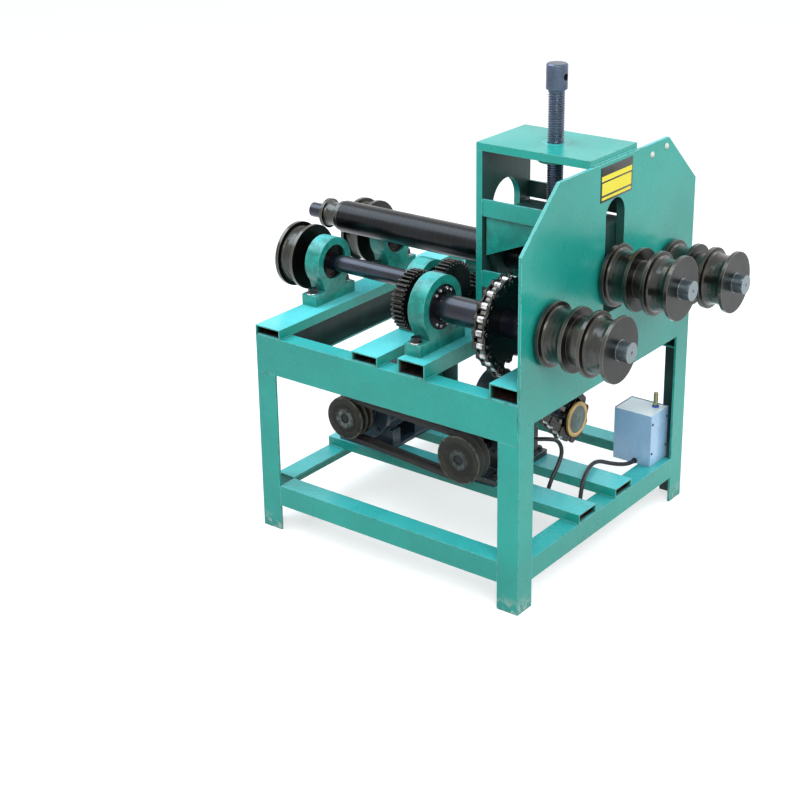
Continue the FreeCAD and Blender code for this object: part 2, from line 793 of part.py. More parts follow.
def roll(x, y, z, bore, width, rim_radius, groove_radius):
    """One roll: a rim, a hollow groove and a rim, on its bore."""
    rim = size["roll_rim"]
    span = width - 2 * rim
    depth = rim_radius - groove_radius
    profile = [(bore, 0), (rim_radius, 0), (rim_radius, rim)]
    for number in range(groove_steps + 1):
        angle = math.pi * number / groove_steps
        across = rim + span * (0.5 - groove_half * math.cos(angle))
        share = groove_foot + (1 - groove_foot) * math.sin(angle)
        profile.append((rim_radius - depth * share, across))
    profile += [(rim_radius, width - rim), (rim_radius, width), (bore, width)]
    return turned(profile, x, y, z)


def front_rolls(x, z, neck_radius):
    """Two grooved rolls with a spacer between them, on one bore."""
    seat = size["roll_seat_radius"]
    width, neck = size["roll_width"], size["roll_neck"]
    outer_roll, inner_roll = [
        roll(x, y, z, seat, width, size["roll_radius"], size["roll_groove_radius"])
        for y in (roll_front, roll_front + width + neck)]
    spacer = turned(((seat, 0), (neck_radius, 0), (neck_radius, neck), (seat, neck)),
                    x, roll_front + width, z)
    return group(outer_roll, spacer, inner_roll)


def shaft(x, z, steps):
    """A stepped shaft along Y: steps are (start, end, radius)."""
    rods = [rod(x, start, z, radius, as_size(end) - start) for start, end, radius in steps]
    return fuse(*rods) if len(rods) > 1 else rods[0]


gear_shoulder = 4


def main_shaft(side):
    x = side * size["main_offset"]
    return shaft(x, main_height, ((front_end, roll_front, size["nose_radius"]),
                                  (roll_front, roll_back, size["roll_seat_radius"]),
                                  (roll_back, gear_back + gear_shoulder, size["main_radius"])))


def rear_wheel(side):
    """The large grooved wheel at the rear end of a rear shaft."""
    return roll(side * rear_offset, wheel_front, rear_height, size["rear_shaft_radius"],
                size["wheel_width"], size["wheel_radius"], size["wheel_groove_radius"])


def rear_shaft(side):
    return shaft(side * rear_offset, rear_height,
                 ((gear_front - gear_shoulder, wheel_back + size["shaft_overhang"],
                   size["rear_shaft_radius"]),))


# ---------------------------------------------------------------- gears

# How wide a tooth space is at three heights, in half pitches: at the pitch circle a
# little more than one, for backlash.
space_at_tip, space_at_pitch, space_at_foot = 1.62, 1.10, 0.68
foot_share = 1.25


def gear(x, z, teeth_count, bore, turn_degrees):
    """A spur gear: one tooth space cut from the blank and repeated around it."""
    module = size["gear_module"]
    pitch_radius = module * teeth_count / 2
    outer = pitch_radius + module
    foot = pitch_radius - foot_share * module
    half_pitch = math.pi / 2 / teeth_count.value
    body = doc.addObject("PartDesign::Body", "gear")
    blank = outline_sketch(body, ((bore, 0), (outer, 0), (outer, size["gear_width"]),
                                  (bore, size["gear_width"])))
    revolution = body.newObject("PartDesign::Revolution", "blank")
    revolution.Profile = blank
    revolution.ReferenceAxis = (blank, ["V_Axis"])
    revolution.Angle = 360
    edge = outer + 1
    edge_half = edge * math.tan(half_pitch * space_at_tip)
    pitch_half = pitch_radius * math.tan(half_pitch * space_at_pitch)
    foot_half = foot * math.tan(half_pitch * space_at_foot)
    space = outline_sketch(body, ((foot, -foot_half), (pitch_radius, -pitch_half),
                                  (edge, -edge_half), (edge, edge_half),
                                  (pitch_radius, pitch_half), (foot, foot_half)), "XY_Plane")
    pocket = body.newObject("PartDesign::Pocket", "space")
    pocket.Profile = space
    pocket.Type = "ThroughAll"
    pocket.Reversed = True
    pattern = body.newObject("PartDesign::PolarPattern", "teeth")
    pattern.Originals = [pocket]
    pattern.Axis = (blank, ["V_Axis"])
    pattern.Angle = 360
    pattern.Occurrences = int(teeth_count.value)
    pattern.setExpression("Occurrences", teeth_count.text)
    body.Tip = pattern
    upright = Rotation(Vector(1, 0, 0), -90)
    spin = Rotation(Vector(0, 1, 0), turn_degrees)
    return place(body, x, gear_front, z, spin.multiply(upright))


def mesh_turn(from_x, from_z, from_turn, from_teeth, to_x, to_z, to_teeth):
    """The turn that puts a space of the next gear on a tooth of this one."""
    line = math.degrees(math.atan2(to_z - from_z, to_x - from_x))
    pitch_from, pitch_to = 360.0 / from_teeth, 360.0 / to_teeth
    phase = (line + from_turn) % pitch_from / pitch_from
    return -(line + 180.0) + (0.5 - phase) * pitch_to


main_x, rear_x = size["main_offset"].value, rear_offset.value
main_z, rear_z, idler_z = main_height.value, rear_height.value, idler_height.value
teeth, idler_teeth = size["gear_teeth"].value, size["idler_teeth"].value
left_main_turn = 0.0
left_rear_turn = mesh_turn(-main_x, main_z, left_main_turn, teeth, -rear_x, rear_z, teeth)
idler_turn = mesh_turn(-rear_x, rear_z, left_rear_turn, teeth, 0, idler_z, idler_teeth)
right_rear_turn = mesh_turn(0, idler_z, idler_turn, idler_teeth, rear_x, rear_z, teeth)
right_main_turn = mesh_turn(rear_x, rear_z, right_rear_turn, teeth, main_x, main_z, teeth)

keep("left_main_shaft", main_shaft(-1))
keep("left_rolls", front_rolls(-size["main_offset"], main_height, size["side_neck_radius"]))
keep("left_main_gear", gear(-size["main_offset"], main_height, size["gear_teeth"],
                            size["main_radius"], left_main_turn))
keep("right_main_shaft", main_shaft(1))
keep("right_rolls", front_rolls(size["main_offset"], main_height, size["side_neck_radius"]))
keep("right_main_gear", gear(size["main_offset"], main_height, size["gear_teeth"],
                             size["main_radius"], right_main_turn))
keep("left_rear_shaft", rear_shaft(-1))
keep("left_rear_wheel", rear_wheel(-1))
keep("left_rear_gear", gear(-rear_offset, rear_height, size["gear_teeth"],
                            size["rear_shaft_radius"], left_rear_turn))
keep("right_rear_shaft", rear_shaft(1))
keep("right_rear_wheel", rear_wheel(1))
keep("right_rear_gear", gear(rear_offset, rear_height, size["gear_teeth"],
                             size["rear_shaft_radius"], right_rear_turn))

keep("idler_gear", gear(as_size(0), idler_height, size["idler_teeth"],
                        size["axle_radius"] + size["shaft_gap"], idler_turn))


front_hanger_gap, back_hanger_gap = 6, 2


def idler_mount():
    """Two hangers welded to the cross tubes and the fixed axle between them."""
    width, foot = size["hanger_width"], size["rail_top"]
    height = idler_height - foot + size["hanger_rise"]
    front_face = block_tube_front + size["tube_width"]
    front_hanger = block(-width / 2, front_face, foot, width,
                         gear_front - front_face - front_hanger_gap, height)
    back_hanger = block(-width / 2, gear_back + back_hanger_gap, foot, width,
                        middle_tube_front - gear_back - back_hanger_gap, height)
    axle = rod(0, front_face, idler_height, size["axle_radius"], middle_tube_front - front_face)
    return fuse(front_hanger, back_hanger, axle)


keep("idler_mount", idler_mount())


# ---------------------------------------------------------------- sprockets and chain

chain_pitch = size["chain_pitch"].value
driven_angle = 2 * math.pi / size["driven_teeth"].value
driver_angle = 2 * math.pi / size["driver_teeth"].value
driven_radius = chain_pitch / 2 / math.sin(driven_angle / 2)
driver_radius = chain_pitch / 2 / math.sin(driver_angle / 2)


def chain_runs(distance):
    """The chain's lean and, counted in links, its wraps and one straight run."""
    lean = math.asin((driven_radius - driver_radius) / distance)
    around_driven = (math.pi + 2 * lean) / driven_angle
    around_driver = (math.pi - 2 * lean) / driver_angle
    return lean, around_driven, around_driver, distance * math.cos(lean) / chain_pitch


def chain_centres():
    """The distance of the sprockets that takes a whole number of links without slack."""
    low, high = driven_radius + driver_radius, chain_pitch * size["chain_links"].value / 2
    for halving in range(60):
        distance = (low + high) / 2
        lean, around_driven, around_driver, straight = chain_runs(distance)
        if around_driven + around_driver + 2 * straight > size["chain_links"].value:
            high = distance
        else:
            low = distance
    return low


centre_distance = chain_centres()
output_x = size["output_offset"].value
output_z = main_z - math.sqrt(centre_distance ** 2 - (output_x + main_x) ** 2)


def chain_pins():
    """The pins' places: down the upper run, around the small sprocket, back and around."""
    start, end = Vector(-main_x, 0, main_z), Vector(output_x, 0, output_z)
    line = math.atan2(end.z - start.z, end.x - start.x)
    lean, around_driven, around_driver, straight = chain_runs(centre_distance)

    def on_circle(centre, radius, angle):
        return centre.add(Vector(radius * math.cos(angle), 0, radius * math.sin(angle)))

    upper, lower = line + math.pi / 2 - lean, line - math.pi / 2 + lean
    corners = (on_circle(start, driven_radius, upper), on_circle(end, driver_radius, upper),
               on_circle(end, driver_radius, lower), on_circle(start, driven_radius, lower))
    places = []
    for number in range(int(size["chain_links"].value)):
        along = float(number)
        if along < straight:
            step = corners[1].sub(corners[0]).multiply(along / straight)
            places.append(corners[0].add(step))
            continue
        along -= straight
        if along < around_driver:
            places.append(on_circle(end, driver_radius, upper - along * driver_angle))
            continue
        along -= around_driver
        if along < straight:
            step = corners[3].sub(corners[2]).multiply(along / straight)
            places.append(corners[2].add(step))
            continue
        along -= straight
        places.append(on_circle(start, driven_radius, lower - along * driven_angle))
    return places


pins = chain_pins()


def phase_of(centre_x, centre_z, radius):
    """The angle, from +X towards +Z, of a pin that lies on a sprocket."""
    best = min(pins, key=lambda pin: abs(math.hypot(pin.x - centre_x, pin.z - centre_z) - radius))
    return math.degrees(math.atan2(best.z - centre_z, best.x - centre_x))


tooth_share = 0.55
tooth_bevel = 4
seat_play = 0.4
seat_flare = 4.5


def sprocket(x, z, teeth_count, pitch_radius, bore, hub_radius, hub_length, phase, hub_in_front):
    """A sprocket: roller seats cut from the blank and repeated around it."""
    wall = size["sprocket_wall"]
    outer = pitch_radius + tooth_share * size["roller_radius"].value
    body = doc.addObject("PartDesign::Body", "sprocket")
    bevel = tooth_bevel
    blank = outline_sketch(body, ((bore, 0), (outer - bevel, 0), (outer, bevel),
                                  (outer, wall - bevel), (outer - bevel, wall),
                                  (hub_radius, wall), (hub_radius, wall + hub_length),
                                  (bore, wall + hub_length)))
    revolution = body.newObject("PartDesign::Revolution", "blank")
    revolution.Profile = blank
    revolution.ReferenceAxis = (blank, ["V_Axis"])
    revolution.Angle = 360
    seat = body.newObject("Sketcher::SketchObject", "seat")
    seat.AttachmentSupport = [(plane_of(body, "XY_Plane"), "")]
    seat.MapMode = "FlatFace"
    half = size["roller_radius"].value + seat_play
    edge, mouth = outer + 1, half + seat_flare
    floor = Part.Arc(Vector(pitch_radius, half, 0), Vector(pitch_radius - half, 0, 0),
                     Vector(pitch_radius, -half, 0))
    corners = (Vector(pitch_radius, -half, 0), Vector(edge, -mouth, 0), Vector(edge, mouth, 0),
               Vector(pitch_radius, half, 0))
    flanks = [Part.LineSegment(start, end) for start, end in zip(corners, corners[1:])]
    seat.addGeometry([floor] + flanks, False)
    pocket = body.newObject("PartDesign::Pocket", "seat_cut")
    pocket.Profile = seat
    pocket.Reversed = True
    bind(pocket, "Length", wall)
    pattern = body.newObject("PartDesign::PolarPattern", "teeth")
    pattern.Originals = [pocket]
    pattern.Axis = (blank, ["V_Axis"])
    pattern.Angle = 360
    pattern.Occurrences = int(teeth_count.value)
    body.Tip = pattern
    side = 1 if hub_in_front else -1
    upright = Rotation(Vector(1, 0, 0), side * 90)
    spin = Rotation(Vector(0, 1, 0), -phase)
    return place(body, x, chain_middle + side * wall / 2, z, spin.multiply(upright))


keep("driven_sprocket", sprocket(-size["main_offset"], main_height, size["driven_teeth"],
                                 driven_radius, size["main_radius"],
                                 size["main_radius"] + size["driven_hub_wall"],
                                 size["driven_hub_length"],
                                 phase_of(-main_x, main_z, driven_radius), False))
keep("drive_sprocket", sprocket(size["output_offset"], as_size(output_z), size["driver_teeth"],
                                driver_radius, size["output_radius"],
                                size["driver_hub_radius"], size["driver_hub_length"],
                                phase_of(output_x, output_z, driver_radius), True))


def link_plate(first, second, y):
    """A chain plate with round ends, over two pins."""
    half = size["link_half_height"].value
    along = second.sub(first)
    along.normalize()
    across = Vector(-along.z, 0, along.x).multiply(half)
    lift = Vector(0, y, 0)
    a, b = first.add(lift), second.add(lift)
    tip_a = a.sub(Vector(along).multiply(half))
    tip_b = b.add(Vector(along).multiply(half))
    wire = Part.Wire([
        Part.LineSegment(a.add(across), b.add(across)).toShape(),
        Part.Arc(b.add(across), tip_b, b.sub(across)).toShape(),
        Part.LineSegment(b.sub(across), a.sub(across)).toShape(),
        Part.Arc(a.sub(across), tip_a, a.add(across)).toShape()])
    return Part.Face(wire).extrude(Vector(0, size["link_wall"].value, 0))


def roller_chain():
    """Rollers on pins, with inner and outer plates in turn."""
    wall = size["link_wall"].value
    inner_half = size["roller_width"].value / 2
    middle = chain_middle.value
    solids = []
    for number, pin in enumerate(pins):
        following = pins[(number + 1) % len(pins)]
        gap = inner_half + (wall if number % 2 else 0)
        solids.append(link_plate(pin, following, middle + gap))
        solids.append(link_plate(pin, following, middle - gap - wall))
        solids.append(Part.makeCylinder(size["roller_radius"].value, 2 * inner_half,
                                        Vector(pin.x, middle - inner_half, pin.z), Vector(0, 1, 0)))
    item = doc.addObject("Part::Feature", "chain")
    item.Shape = Part.makeCompound(solids)
    return item


keep("roller_chain", roller_chain())


# ---------------------------------------------------------------- gearbox, belts and motor

output_height = as_size(output_z)
gearbox_left = size["output_offset"] - size["gearbox_half_width"]
gearbox_right = size["output_offset"] + size["gearbox_half_width"]
gearbox_front = gearbox_middle - size["gearbox_half_depth"]
gearbox_back = gearbox_middle + size["gearbox_half_depth"]
foot_left = -size["base_tube_offset"] - size["tube_width"] / 2 + size["foot_inset"]
neck_inset = 14
shaft_end_gap = 2
output_stub = 10
worm_cover_front = 10


def gearbox_case():
    """The cast case: a round wheel case over the worm's tunnel, on a foot with lugs."""
    depth, width = 2 * size["gearbox_half_depth"], 2 * size["gearbox_half_width"]
    x, worm_z = size["output_offset"], size["worm_height"]
    rim, inset = size["cover_wall"], size["cover_wall"] * 1.5
    foot = block(foot_left, gearbox_front, base_deck, -2 * foot_left, depth, size["gearbox_foot"])
    pedestal = block(gearbox_left, gearbox_front + inset, base_deck, width, depth - 2 * inset,
                     worm_z - base_deck)
    tunnel = rod(gearbox_left, gearbox_middle, worm_z, size["worm_case_radius"], width, ALONG_X)
    wheel_case = rod(x, gearbox_front + rim, output_height, size["wheel_case_radius"],
                     depth - 2 * rim)
    neck = block(gearbox_left + neck_inset, gearbox_front + inset, worm_z, width - 2 * neck_inset,
                 depth - 2 * inset, output_height - worm_z)
    worm_hole = rod(gearbox_left, gearbox_middle, worm_z,
                    size["worm_radius"] + size["shaft_gap"], size["bore_depth"], ALONG_X)
    output_hole = rod(x, gearbox_front, output_height,
                      size["output_radius"] + size["shaft_gap"], size["bore_depth"])
    return cut(fuse(foot, pedestal, tunnel, wheel_case, neck), worm_hole, output_hole)


keep("gearbox_case", gearbox_case())


def gearbox_covers():
    """Bolted covers: the output bearing's, the blind one behind and the worm's two."""
    x, worm_z, wall = size["output_offset"], size["worm_height"], size["cover_wall"]
    radius, worm_radius = size["wheel_cover_radius"], size["worm_cover_radius"]
    front_cover = cut(rod(x, gearbox_front, output_height, radius, wall),
                      rod(x, gearbox_front, output_height,
                          size["output_radius"] + size["hole_gap"], wall))
    back_cover = rod(x, gearbox_back - wall, output_height, radius, wall)
    input_start = gearbox_left - worm_cover_front
    input_cover = cut(rod(input_start, gearbox_middle, worm_z, worm_radius, worm_cover_front,
                          ALONG_X),
                      rod(input_start, gearbox_middle, worm_z,
                          size["worm_radius"] + size["hole_gap"], worm_cover_front, ALONG_X))
    end_cover = rod(gearbox_right, gearbox_middle, worm_z, worm_radius, wall, ALONG_X)
    return group(front_cover, back_cover, input_cover, end_cover)


keep("gearbox_covers", gearbox_covers())
output_start = chain_middle - size["sprocket_wall"] / 2 - output_stub
output_finish = gearbox_front + size["bore_depth"] - shaft_end_gap
keep("output_shaft", shaft(size["output_offset"], output_height,
                           ((output_start, output_finish, size["output_radius"]),)))


groove_slope = 4


def pulley(x, y, z, radius, bore):
    """A two-groove V-belt pulley with its face towards the left."""
    width, rim, depth = size["pulley_width"], size["pulley_rim"], size["groove_depth"]
    groove = (width - 3 * rim) / 2
    profile = [(bore, 0), (radius, 0), (radius, rim)]
    start = rim
    for number in range(2):
        profile += [(radius - depth, start + groove_slope),
                    (radius - depth, start + groove - groove_slope), (radius, start + groove)]
        start = start + groove + rim
        profile.append((radius, start))
    profile.append((bore, width))
    return turned(profile, x, y, z, ALONG_X)


pulley_left = -size["pulley_face"]
shaft_start = pulley_left + shaft_end_gap
worm_finish = gearbox_left + size["bore_depth"] - shaft_end_gap
keep("gearbox_pulley", pulley(pulley_left, gearbox_middle, size["worm_height"],
                              size["gear_pulley_radius"], size["worm_radius"]))
keep("worm_shaft", rod(shaft_start, gearbox_middle, size["worm_height"], size["worm_radius"],
                       worm_finish - shaft_start, ALONG_X))
keep("motor_pulley", pulley(pulley_left, motor_y, size["motor_height"],
                            size["motor_pulley_radius"], size["motor_shaft_radius"]))


def belt_path(x, shrink):
    """The closed line around both pulleys, a little inside their rims."""
    first = Vector(x, gearbox_middle.value, size["worm_height"].value)
    second = Vector(x, motor_y.value, size["motor_height"].value)
    one = size["gear_pulley_radius"].value - shrink
    two = size["motor_pulley_radius"].value - shrink
    span = second.sub(first)
    line = math.atan2(span.z, span.y)
    lean = math.asin((one - two) / span.Length)

    def spot(centre, radius, angle):
        return centre.add(Vector(0, radius * math.cos(angle), radius * math.sin(angle)))

    up, down = line + math.pi / 2 - lean, line - math.pi / 2 + lean
    upper_one, upper_two = spot(first, one, up), spot(second, two, up)
    lower_two, lower_one = spot(second, two, down), spot(first, one, down)
    return Part.Wire([
        Part.LineSegment(upper_one, upper_two).toShape(),
        Part.Arc(upper_two, spot(second, two, line), lower_two).toShape(),
        Part.LineSegment(lower_two, lower_one).toShape(),
        Part.Arc(lower_one, spot(first, one, line + math.pi), upper_one).toShape()])


def belt(x):
    """One V-belt: a tapered section carried around both pulleys."""
    depth, top_half, bottom_half = 10, 8.2, 5.35
    path = belt_path(x, depth / 2 - 1)
    start = path.Vertexes[0].Point
    centre = Vector(x, gearbox_middle.value, size["worm_height"].value)
    outward = start.sub(centre).normalize()
    side = Vector(1, 0, 0)
    top = start.add(Vector(outward).multiply(depth / 2))
    bottom = start.sub(Vector(outward).multiply(depth / 2))
    corners = [top.add(Vector(side).multiply(top_half)), top.sub(Vector(side).multiply(top_half)),
               bottom.sub(Vector(side).multiply(bottom_half)),
               bottom.add(Vector(side).multiply(bottom_half))]
    section = Part.makePolygon(corners + [corners[0]])
    return path.makePipeShell([section], True, False)


def drive_belts():
    width = size["pulley_width"].value
    rim = size["pulley_rim"].value
    groove = (width - 3 * rim) / 2
    middles = [pulley_left.value + rim + groove / 2 + number * (groove + rim)
               for number in range(2)]
    item = doc.addObject("Part::Feature", "belts")
    item.Shape = Part.makeCompound([belt(middle) for middle in middles])
    return item


keep("drive_belts", drive_belts())

motor_left = pulley_left + size["pulley_width"] + size["motor_gap"]
motor_right = motor_left + size["motor_length"]
fin_count = 24
nose_radius, nose_length = 40, 10
foot_bar_width, foot_bar_inset, foot_bar_margin = 32, 30, 6
foot_bar_reach = 0.7


def motor_body():
    """Finned motor body with its end shields, its feet and their base plate."""
    radius, length, shield = size["motor_radius"], size["motor_length"], size["shield_wall"]
    z, depth = size["motor_height"], size["motor_foot_depth"]
    core = rod(motor_left, motor_y, z, radius - size["fin_height"] / 2, length, ALONG_X)
    shields = [rod(x, motor_y, z, radius, shield, ALONG_X)
               for x in (motor_left, motor_right - shield)]
    nose = rod(motor_left - nose_length, motor_y, z, nose_radius, nose_length + 1, ALONG_X)
    fins = []
    for number in range(fin_count):
        fin = doc.addObject("Part::Box", "fin")
        bind(fin, "Length", length - 2 * shield)
        bind(fin, "Width", size["fin_wall"])
        bind(fin, "Height", size["fin_height"])
        turn = Rotation(Vector(1, 0, 0), 360.0 / fin_count * number)
        shift = turn.multVec(Vector(0, -size["fin_wall"].value / 2,
                                    radius.value - size["fin_height"].value))
        place(fin, motor_left + shield, motor_y + shift.y, z + shift.z, turn)
        fins.append(fin)
    deck_plate = block(foot_left, motor_y - depth / 2, base_deck, -2 * foot_left, depth,
                       size["motor_foot_wall"])
    bar_bottom = base_deck + size["motor_foot_wall"]
    bar_y, bar_depth = motor_y - depth / 2 + foot_bar_margin, depth - 2 * foot_bar_margin
    bars = [block(x, bar_y, bar_bottom, foot_bar_width, bar_depth,
                  z - radius * foot_bar_reach - bar_bottom)
            for x in (motor_left + foot_bar_inset, motor_right - foot_bar_inset - foot_bar_width)]
    hole = rod(motor_left - nose_length, motor_y, z,
               size["motor_shaft_radius"] + size["shaft_gap"], size["bore_depth"], ALONG_X)
    return cut(fuse(core, *shields, nose, *fins, deck_plate, *bars), hole)


keep("motor_body", motor_body())
motor_shaft_finish = motor_left - nose_length + size["bore_depth"] - shaft_end_gap
keep("motor_shaft", rod(shaft_start, motor_y, size["motor_height"], size["motor_shaft_radius"],
                        motor_shaft_finish - shaft_start, ALONG_X))


grille_slots = 5
grille_pitch, grille_width, grille_height = 22, 84, 8


def fan_cover():
    """The pressed cover over the motor's fan, with an air grille in its end."""
    z, wall, length = size["motor_height"], size["fan_wall"], size["fan_length"]
    outer = rod(motor_right, motor_y, z, size["motor_radius"], length, ALONG_X)
    inner = rod(motor_right, motor_y, z, size["motor_radius"] - wall, length - wall, ALONG_X)
    slots = []
    for number in range(grille_slots):
        bottom = z + (number - grille_slots // 2) * grille_pitch - grille_height / 2
        slots.append(block(motor_right + length - wall - 1, motor_y - grille_width / 2, bottom,
                           wall + 2, grille_width, grille_height))
    return cut(outer, inner, *slots)


keep("motor_fan_cover", fan_cover())

terminal_start = 40


def terminal_box():
    x, z = motor_left + terminal_start, size["motor_height"] + size["motor_radius"]
    width, depth = size["terminal_width"], size["terminal_depth"]
    lip = size["terminal_lid"] / 2
    base = block(x, motor_y - depth / 2, z, width, depth, size["terminal_height"])
    lid = block(x - lip, motor_y - depth / 2 - lip, z + size["terminal_height"], width + 2 * lip,
                depth + 2 * lip, size["terminal_lid"])
    return fuse(base, lid)


keep("motor_terminal_box", terminal_box())


# ---------------------------------------------------------------- centre shaft and press

tube_front = front - size["plate_wall"] / 2
tube_back = wheel_front - size["key_gap"] - 2
rear_end_share = 0.8


def centre_tube():
    outer = rod(0, tube_front, centre_height, size["centre_tube_radius"],
                tube_back - tube_front)
    inner = rod(0, tube_front, centre_height,
                size["centre_tube_radius"] - size["centre_tube_wall"], tube_back - tube_front)
    return cut(outer, inner)


keep("centre_tube", centre_tube())


def tube_bush(y):
    inner_radius = size["centre_tube_radius"] - size["centre_tube_wall"]
    ring = rod(0, y, centre_height, inner_radius, size["bush_length"])
    hole = rod(0, y, centre_height, size["roll_seat_radius"] + size["shaft_gap"],
               size["bush_length"])
    return cut(ring, hole)


keep("tube_bushes", group(tube_bush(tube_front), tube_bush(tube_back - size["bush_length"])))


def centre_shaft():
    seat = size["roll_seat_radius"]
    return shaft(0, centre_height, ((front_end, roll_front, size["nose_radius"]),
                                    (roll_front, wheel_back, seat),
                                    (wheel_back, rear_end, seat * rear_end_share)))


keep("centre_shaft", centre_shaft())
keep("centre_rolls", front_rolls(0, centre_height, size["centre_neck_radius"]))
keep("centre_rear_roll", roll(0, wheel_front, centre_height, size["roll_seat_radius"],
                              size["wheel_width"], size["small_roll_radius"],
                              size["small_roll_groove"]))


carriage_foot_share = 0.62
cheek_start, cheek_nose = 120, 20


def carriage_frame():
    """A top plate on two upright plates that hold the tube, with a cheek on each side."""
    half, wall, top = size["carriage_half_width"], size["carriage_plate"], carriage_top
    gap, cheek_wall = size["carriage_gap"], size["cheek_wall"]
    start, end = plate_back + gap, tower_back - size["tower_back_wall"] - cheek_wall
    lid = block(-half, start, top - wall, 2 * half, end - start, wall)
    bottom = centre_height - size["centre_tube_radius"] - size["centre_tube_wall"]
    shoulder = top - wall - size["carriage_shoulder"]
    foot_half = half * carriage_foot_share
    outline = ((-foot_half, bottom), (foot_half, bottom), (half, shoulder), (half, top - wall),
               (-half, top - wall), (-half, shoulder))
    ends = [plate(outline, y, wall) for y in (start, end - wall)]
    cheek = side_plate(((start, top - wall), (end, top - wall),
                        (end, top - wall - size["cheek_height"]),
                        (start + cheek_start, top - wall - cheek_nose)), -half, cheek_wall)
    body = fuse(lid, *ends, cheek, mirror(cheek))
    tube_hole = rod(0, start, centre_height, size["centre_tube_radius"], end - start)
    socket = rod(0, screw_y, top - wall,
                 size["screw_radius"] - size["screw_neck"] + size["shaft_gap"], wall, ALONG_Z)
    return cut(body, tube_hole, socket)


keep("carriage_frame", carriage_frame())


collar_lip = 6


def lead_screw():
    """The press screw with its cross-drilled head and its collars in the carriage."""
    top, radius, gap = size["screw_top"], size["screw_radius"], size["key_gap"]
    shank_bottom = carriage_top + gap
    neck_bottom = carriage_top - size["carriage_plate"] - size["screw_collar"]
    head_bottom = top - size["head_height"]
    thread = rod(0, screw_y, shank_bottom, radius, head_bottom - shank_bottom, ALONG_Z)
    head = rod(0, screw_y, head_bottom, size["head_radius"], size["head_height"], ALONG_Z)
    neck = rod(0, screw_y, neck_bottom, radius - size["screw_neck"], shank_bottom - neck_bottom,
               ALONG_Z)
    collar = rod(0, screw_y, neck_bottom, radius + collar_lip, size["screw_collar"] - gap, ALONG_Z)
    hole = rod(0, screw_y - size["head_radius"], top - size["bar_hole_drop"],
               size["bar_hole_radius"], 2 * size["head_radius"])
    return cut(fuse(thread, head, neck, collar), hole)


keep("lead_screw", lead_screw())


# ---------------------------------------------------------------- control box and cable

box_bottom = size["low_rail_top"]
box_top = box_bottom + size["box_height"]
sheet_metal = size["sheet_metal"]
gland_place, gland_height = 66, 136


def control_box():
    """A folded sheet-metal box, open at the front."""
    outer = block(box_left, box_front, box_bottom, size["box_width"], size["box_depth"],
                  size["box_height"])
    inner = block(box_left + sheet_metal, box_front, box_bottom + sheet_metal,
                  size["box_width"] - 2 * sheet_metal, size["box_depth"] - sheet_metal,
                  size["box_height"] - 2 * sheet_metal)
    gland_hole = rod(box_left, front + gland_place, gland_height, size["cable_radius"] - 1,
                     sheet_metal, ALONG_X)
    return cut(outer, inner, gland_hole)


keep("control_box", control_box())
keep("control_box_cover", block(box_left, box_front - sheet_metal, box_bottom,
                                size["box_width"], sheet_metal, size["box_height"]))

switch_x = box_left + size["box_width"] - size["switch_inset"]
switch_y = box_front + size["switch_inset"]
switch_pivot = box_top + size["switch_radius"] + size["key_gap"]


def switch_collar():
    """The ring screwed to the box's top around the lever's ball."""
    inner, height = size["switch_radius"] + size["key_gap"], size["collar_height"]
    ring = rod(switch_x, switch_y, box_top, inner + size["collar_wall"], height, ALONG_Z)
    return cut(ring, rod(switch_x, switch_y, box_top, inner, height, ALONG_Z))


keep("switch_collar", switch_collar())


def switch_lever():
    """A round lever on a ball, with the pin across it that it tilts about."""
    ball = doc.addObject("Part::Sphere", "ball")
    bind(ball, "Radius", size["switch_radius"])
    place(ball, switch_x, switch_y, switch_pivot)
    post = rod(switch_x, switch_y, switch_pivot, size["switch_radius"],
               box_top + size["switch_height"] - switch_pivot, ALONG_Z)
    half_pin = size["switch_radius"] + size["pin_radius"]
    pin = rod(switch_x - half_pin, switch_y, switch_pivot, size["pin_radius"], 2 * half_pin,
              ALONG_X)
    return fuse(ball, post, pin)


keep("switch_lever", switch_lever())

# The motor cable's route: X, distance behind the front plate and height. The first
# three points count their X from the control box's left side.
BOX_RUN = ((-4, gland_place, gland_height), (-30, gland_place, gland_height), (-64, 92, 142))
CABLE_ROUTE = (
    (142, 122, 168), (34, 88, 168),
    (14, 84, 118), (8, 84, 82), (4, 110, 56), (0, 146, 56), (-2, 172, 82), (-2, 174, 114),
    (14, 171, 150), (44, 169, 180), (62, 169, 212), (40, 170, 250), (-8, 174, 270),
    (-62, 192, 284), (-98, 236, 296), (-106, 304, 304), (-104, 386, 300), (-92, 470, 318),
    (-66, 545, 346), (-40, 600, 359), (-40, 637, 359),
)
grommet_wall, gland_wall = 4, 7


def cable_glands():
    """The rubber grommet of the control box and the gland of the terminal box."""
    bore = size["cable_radius"] - 1
    reach, behind, z = BOX_RUN[0]
    grommet = cut(rod(box_left + reach, front + behind, z, bore + grommet_wall, -reach, ALONG_X),
                  rod(box_left + reach, front + behind, z, bore, -reach, ALONG_X))
    x, behind, z = CABLE_ROUTE[-1]
    length = motor_y - size["terminal_depth"] / 2 - front - behind
    gland = cut(rod(x, front + behind, z, bore + gland_wall, length),
                rod(x, front + behind, z, bore, length))
    return group(grommet, gland)


keep("cable_glands", cable_glands())
bend_share = 0.45


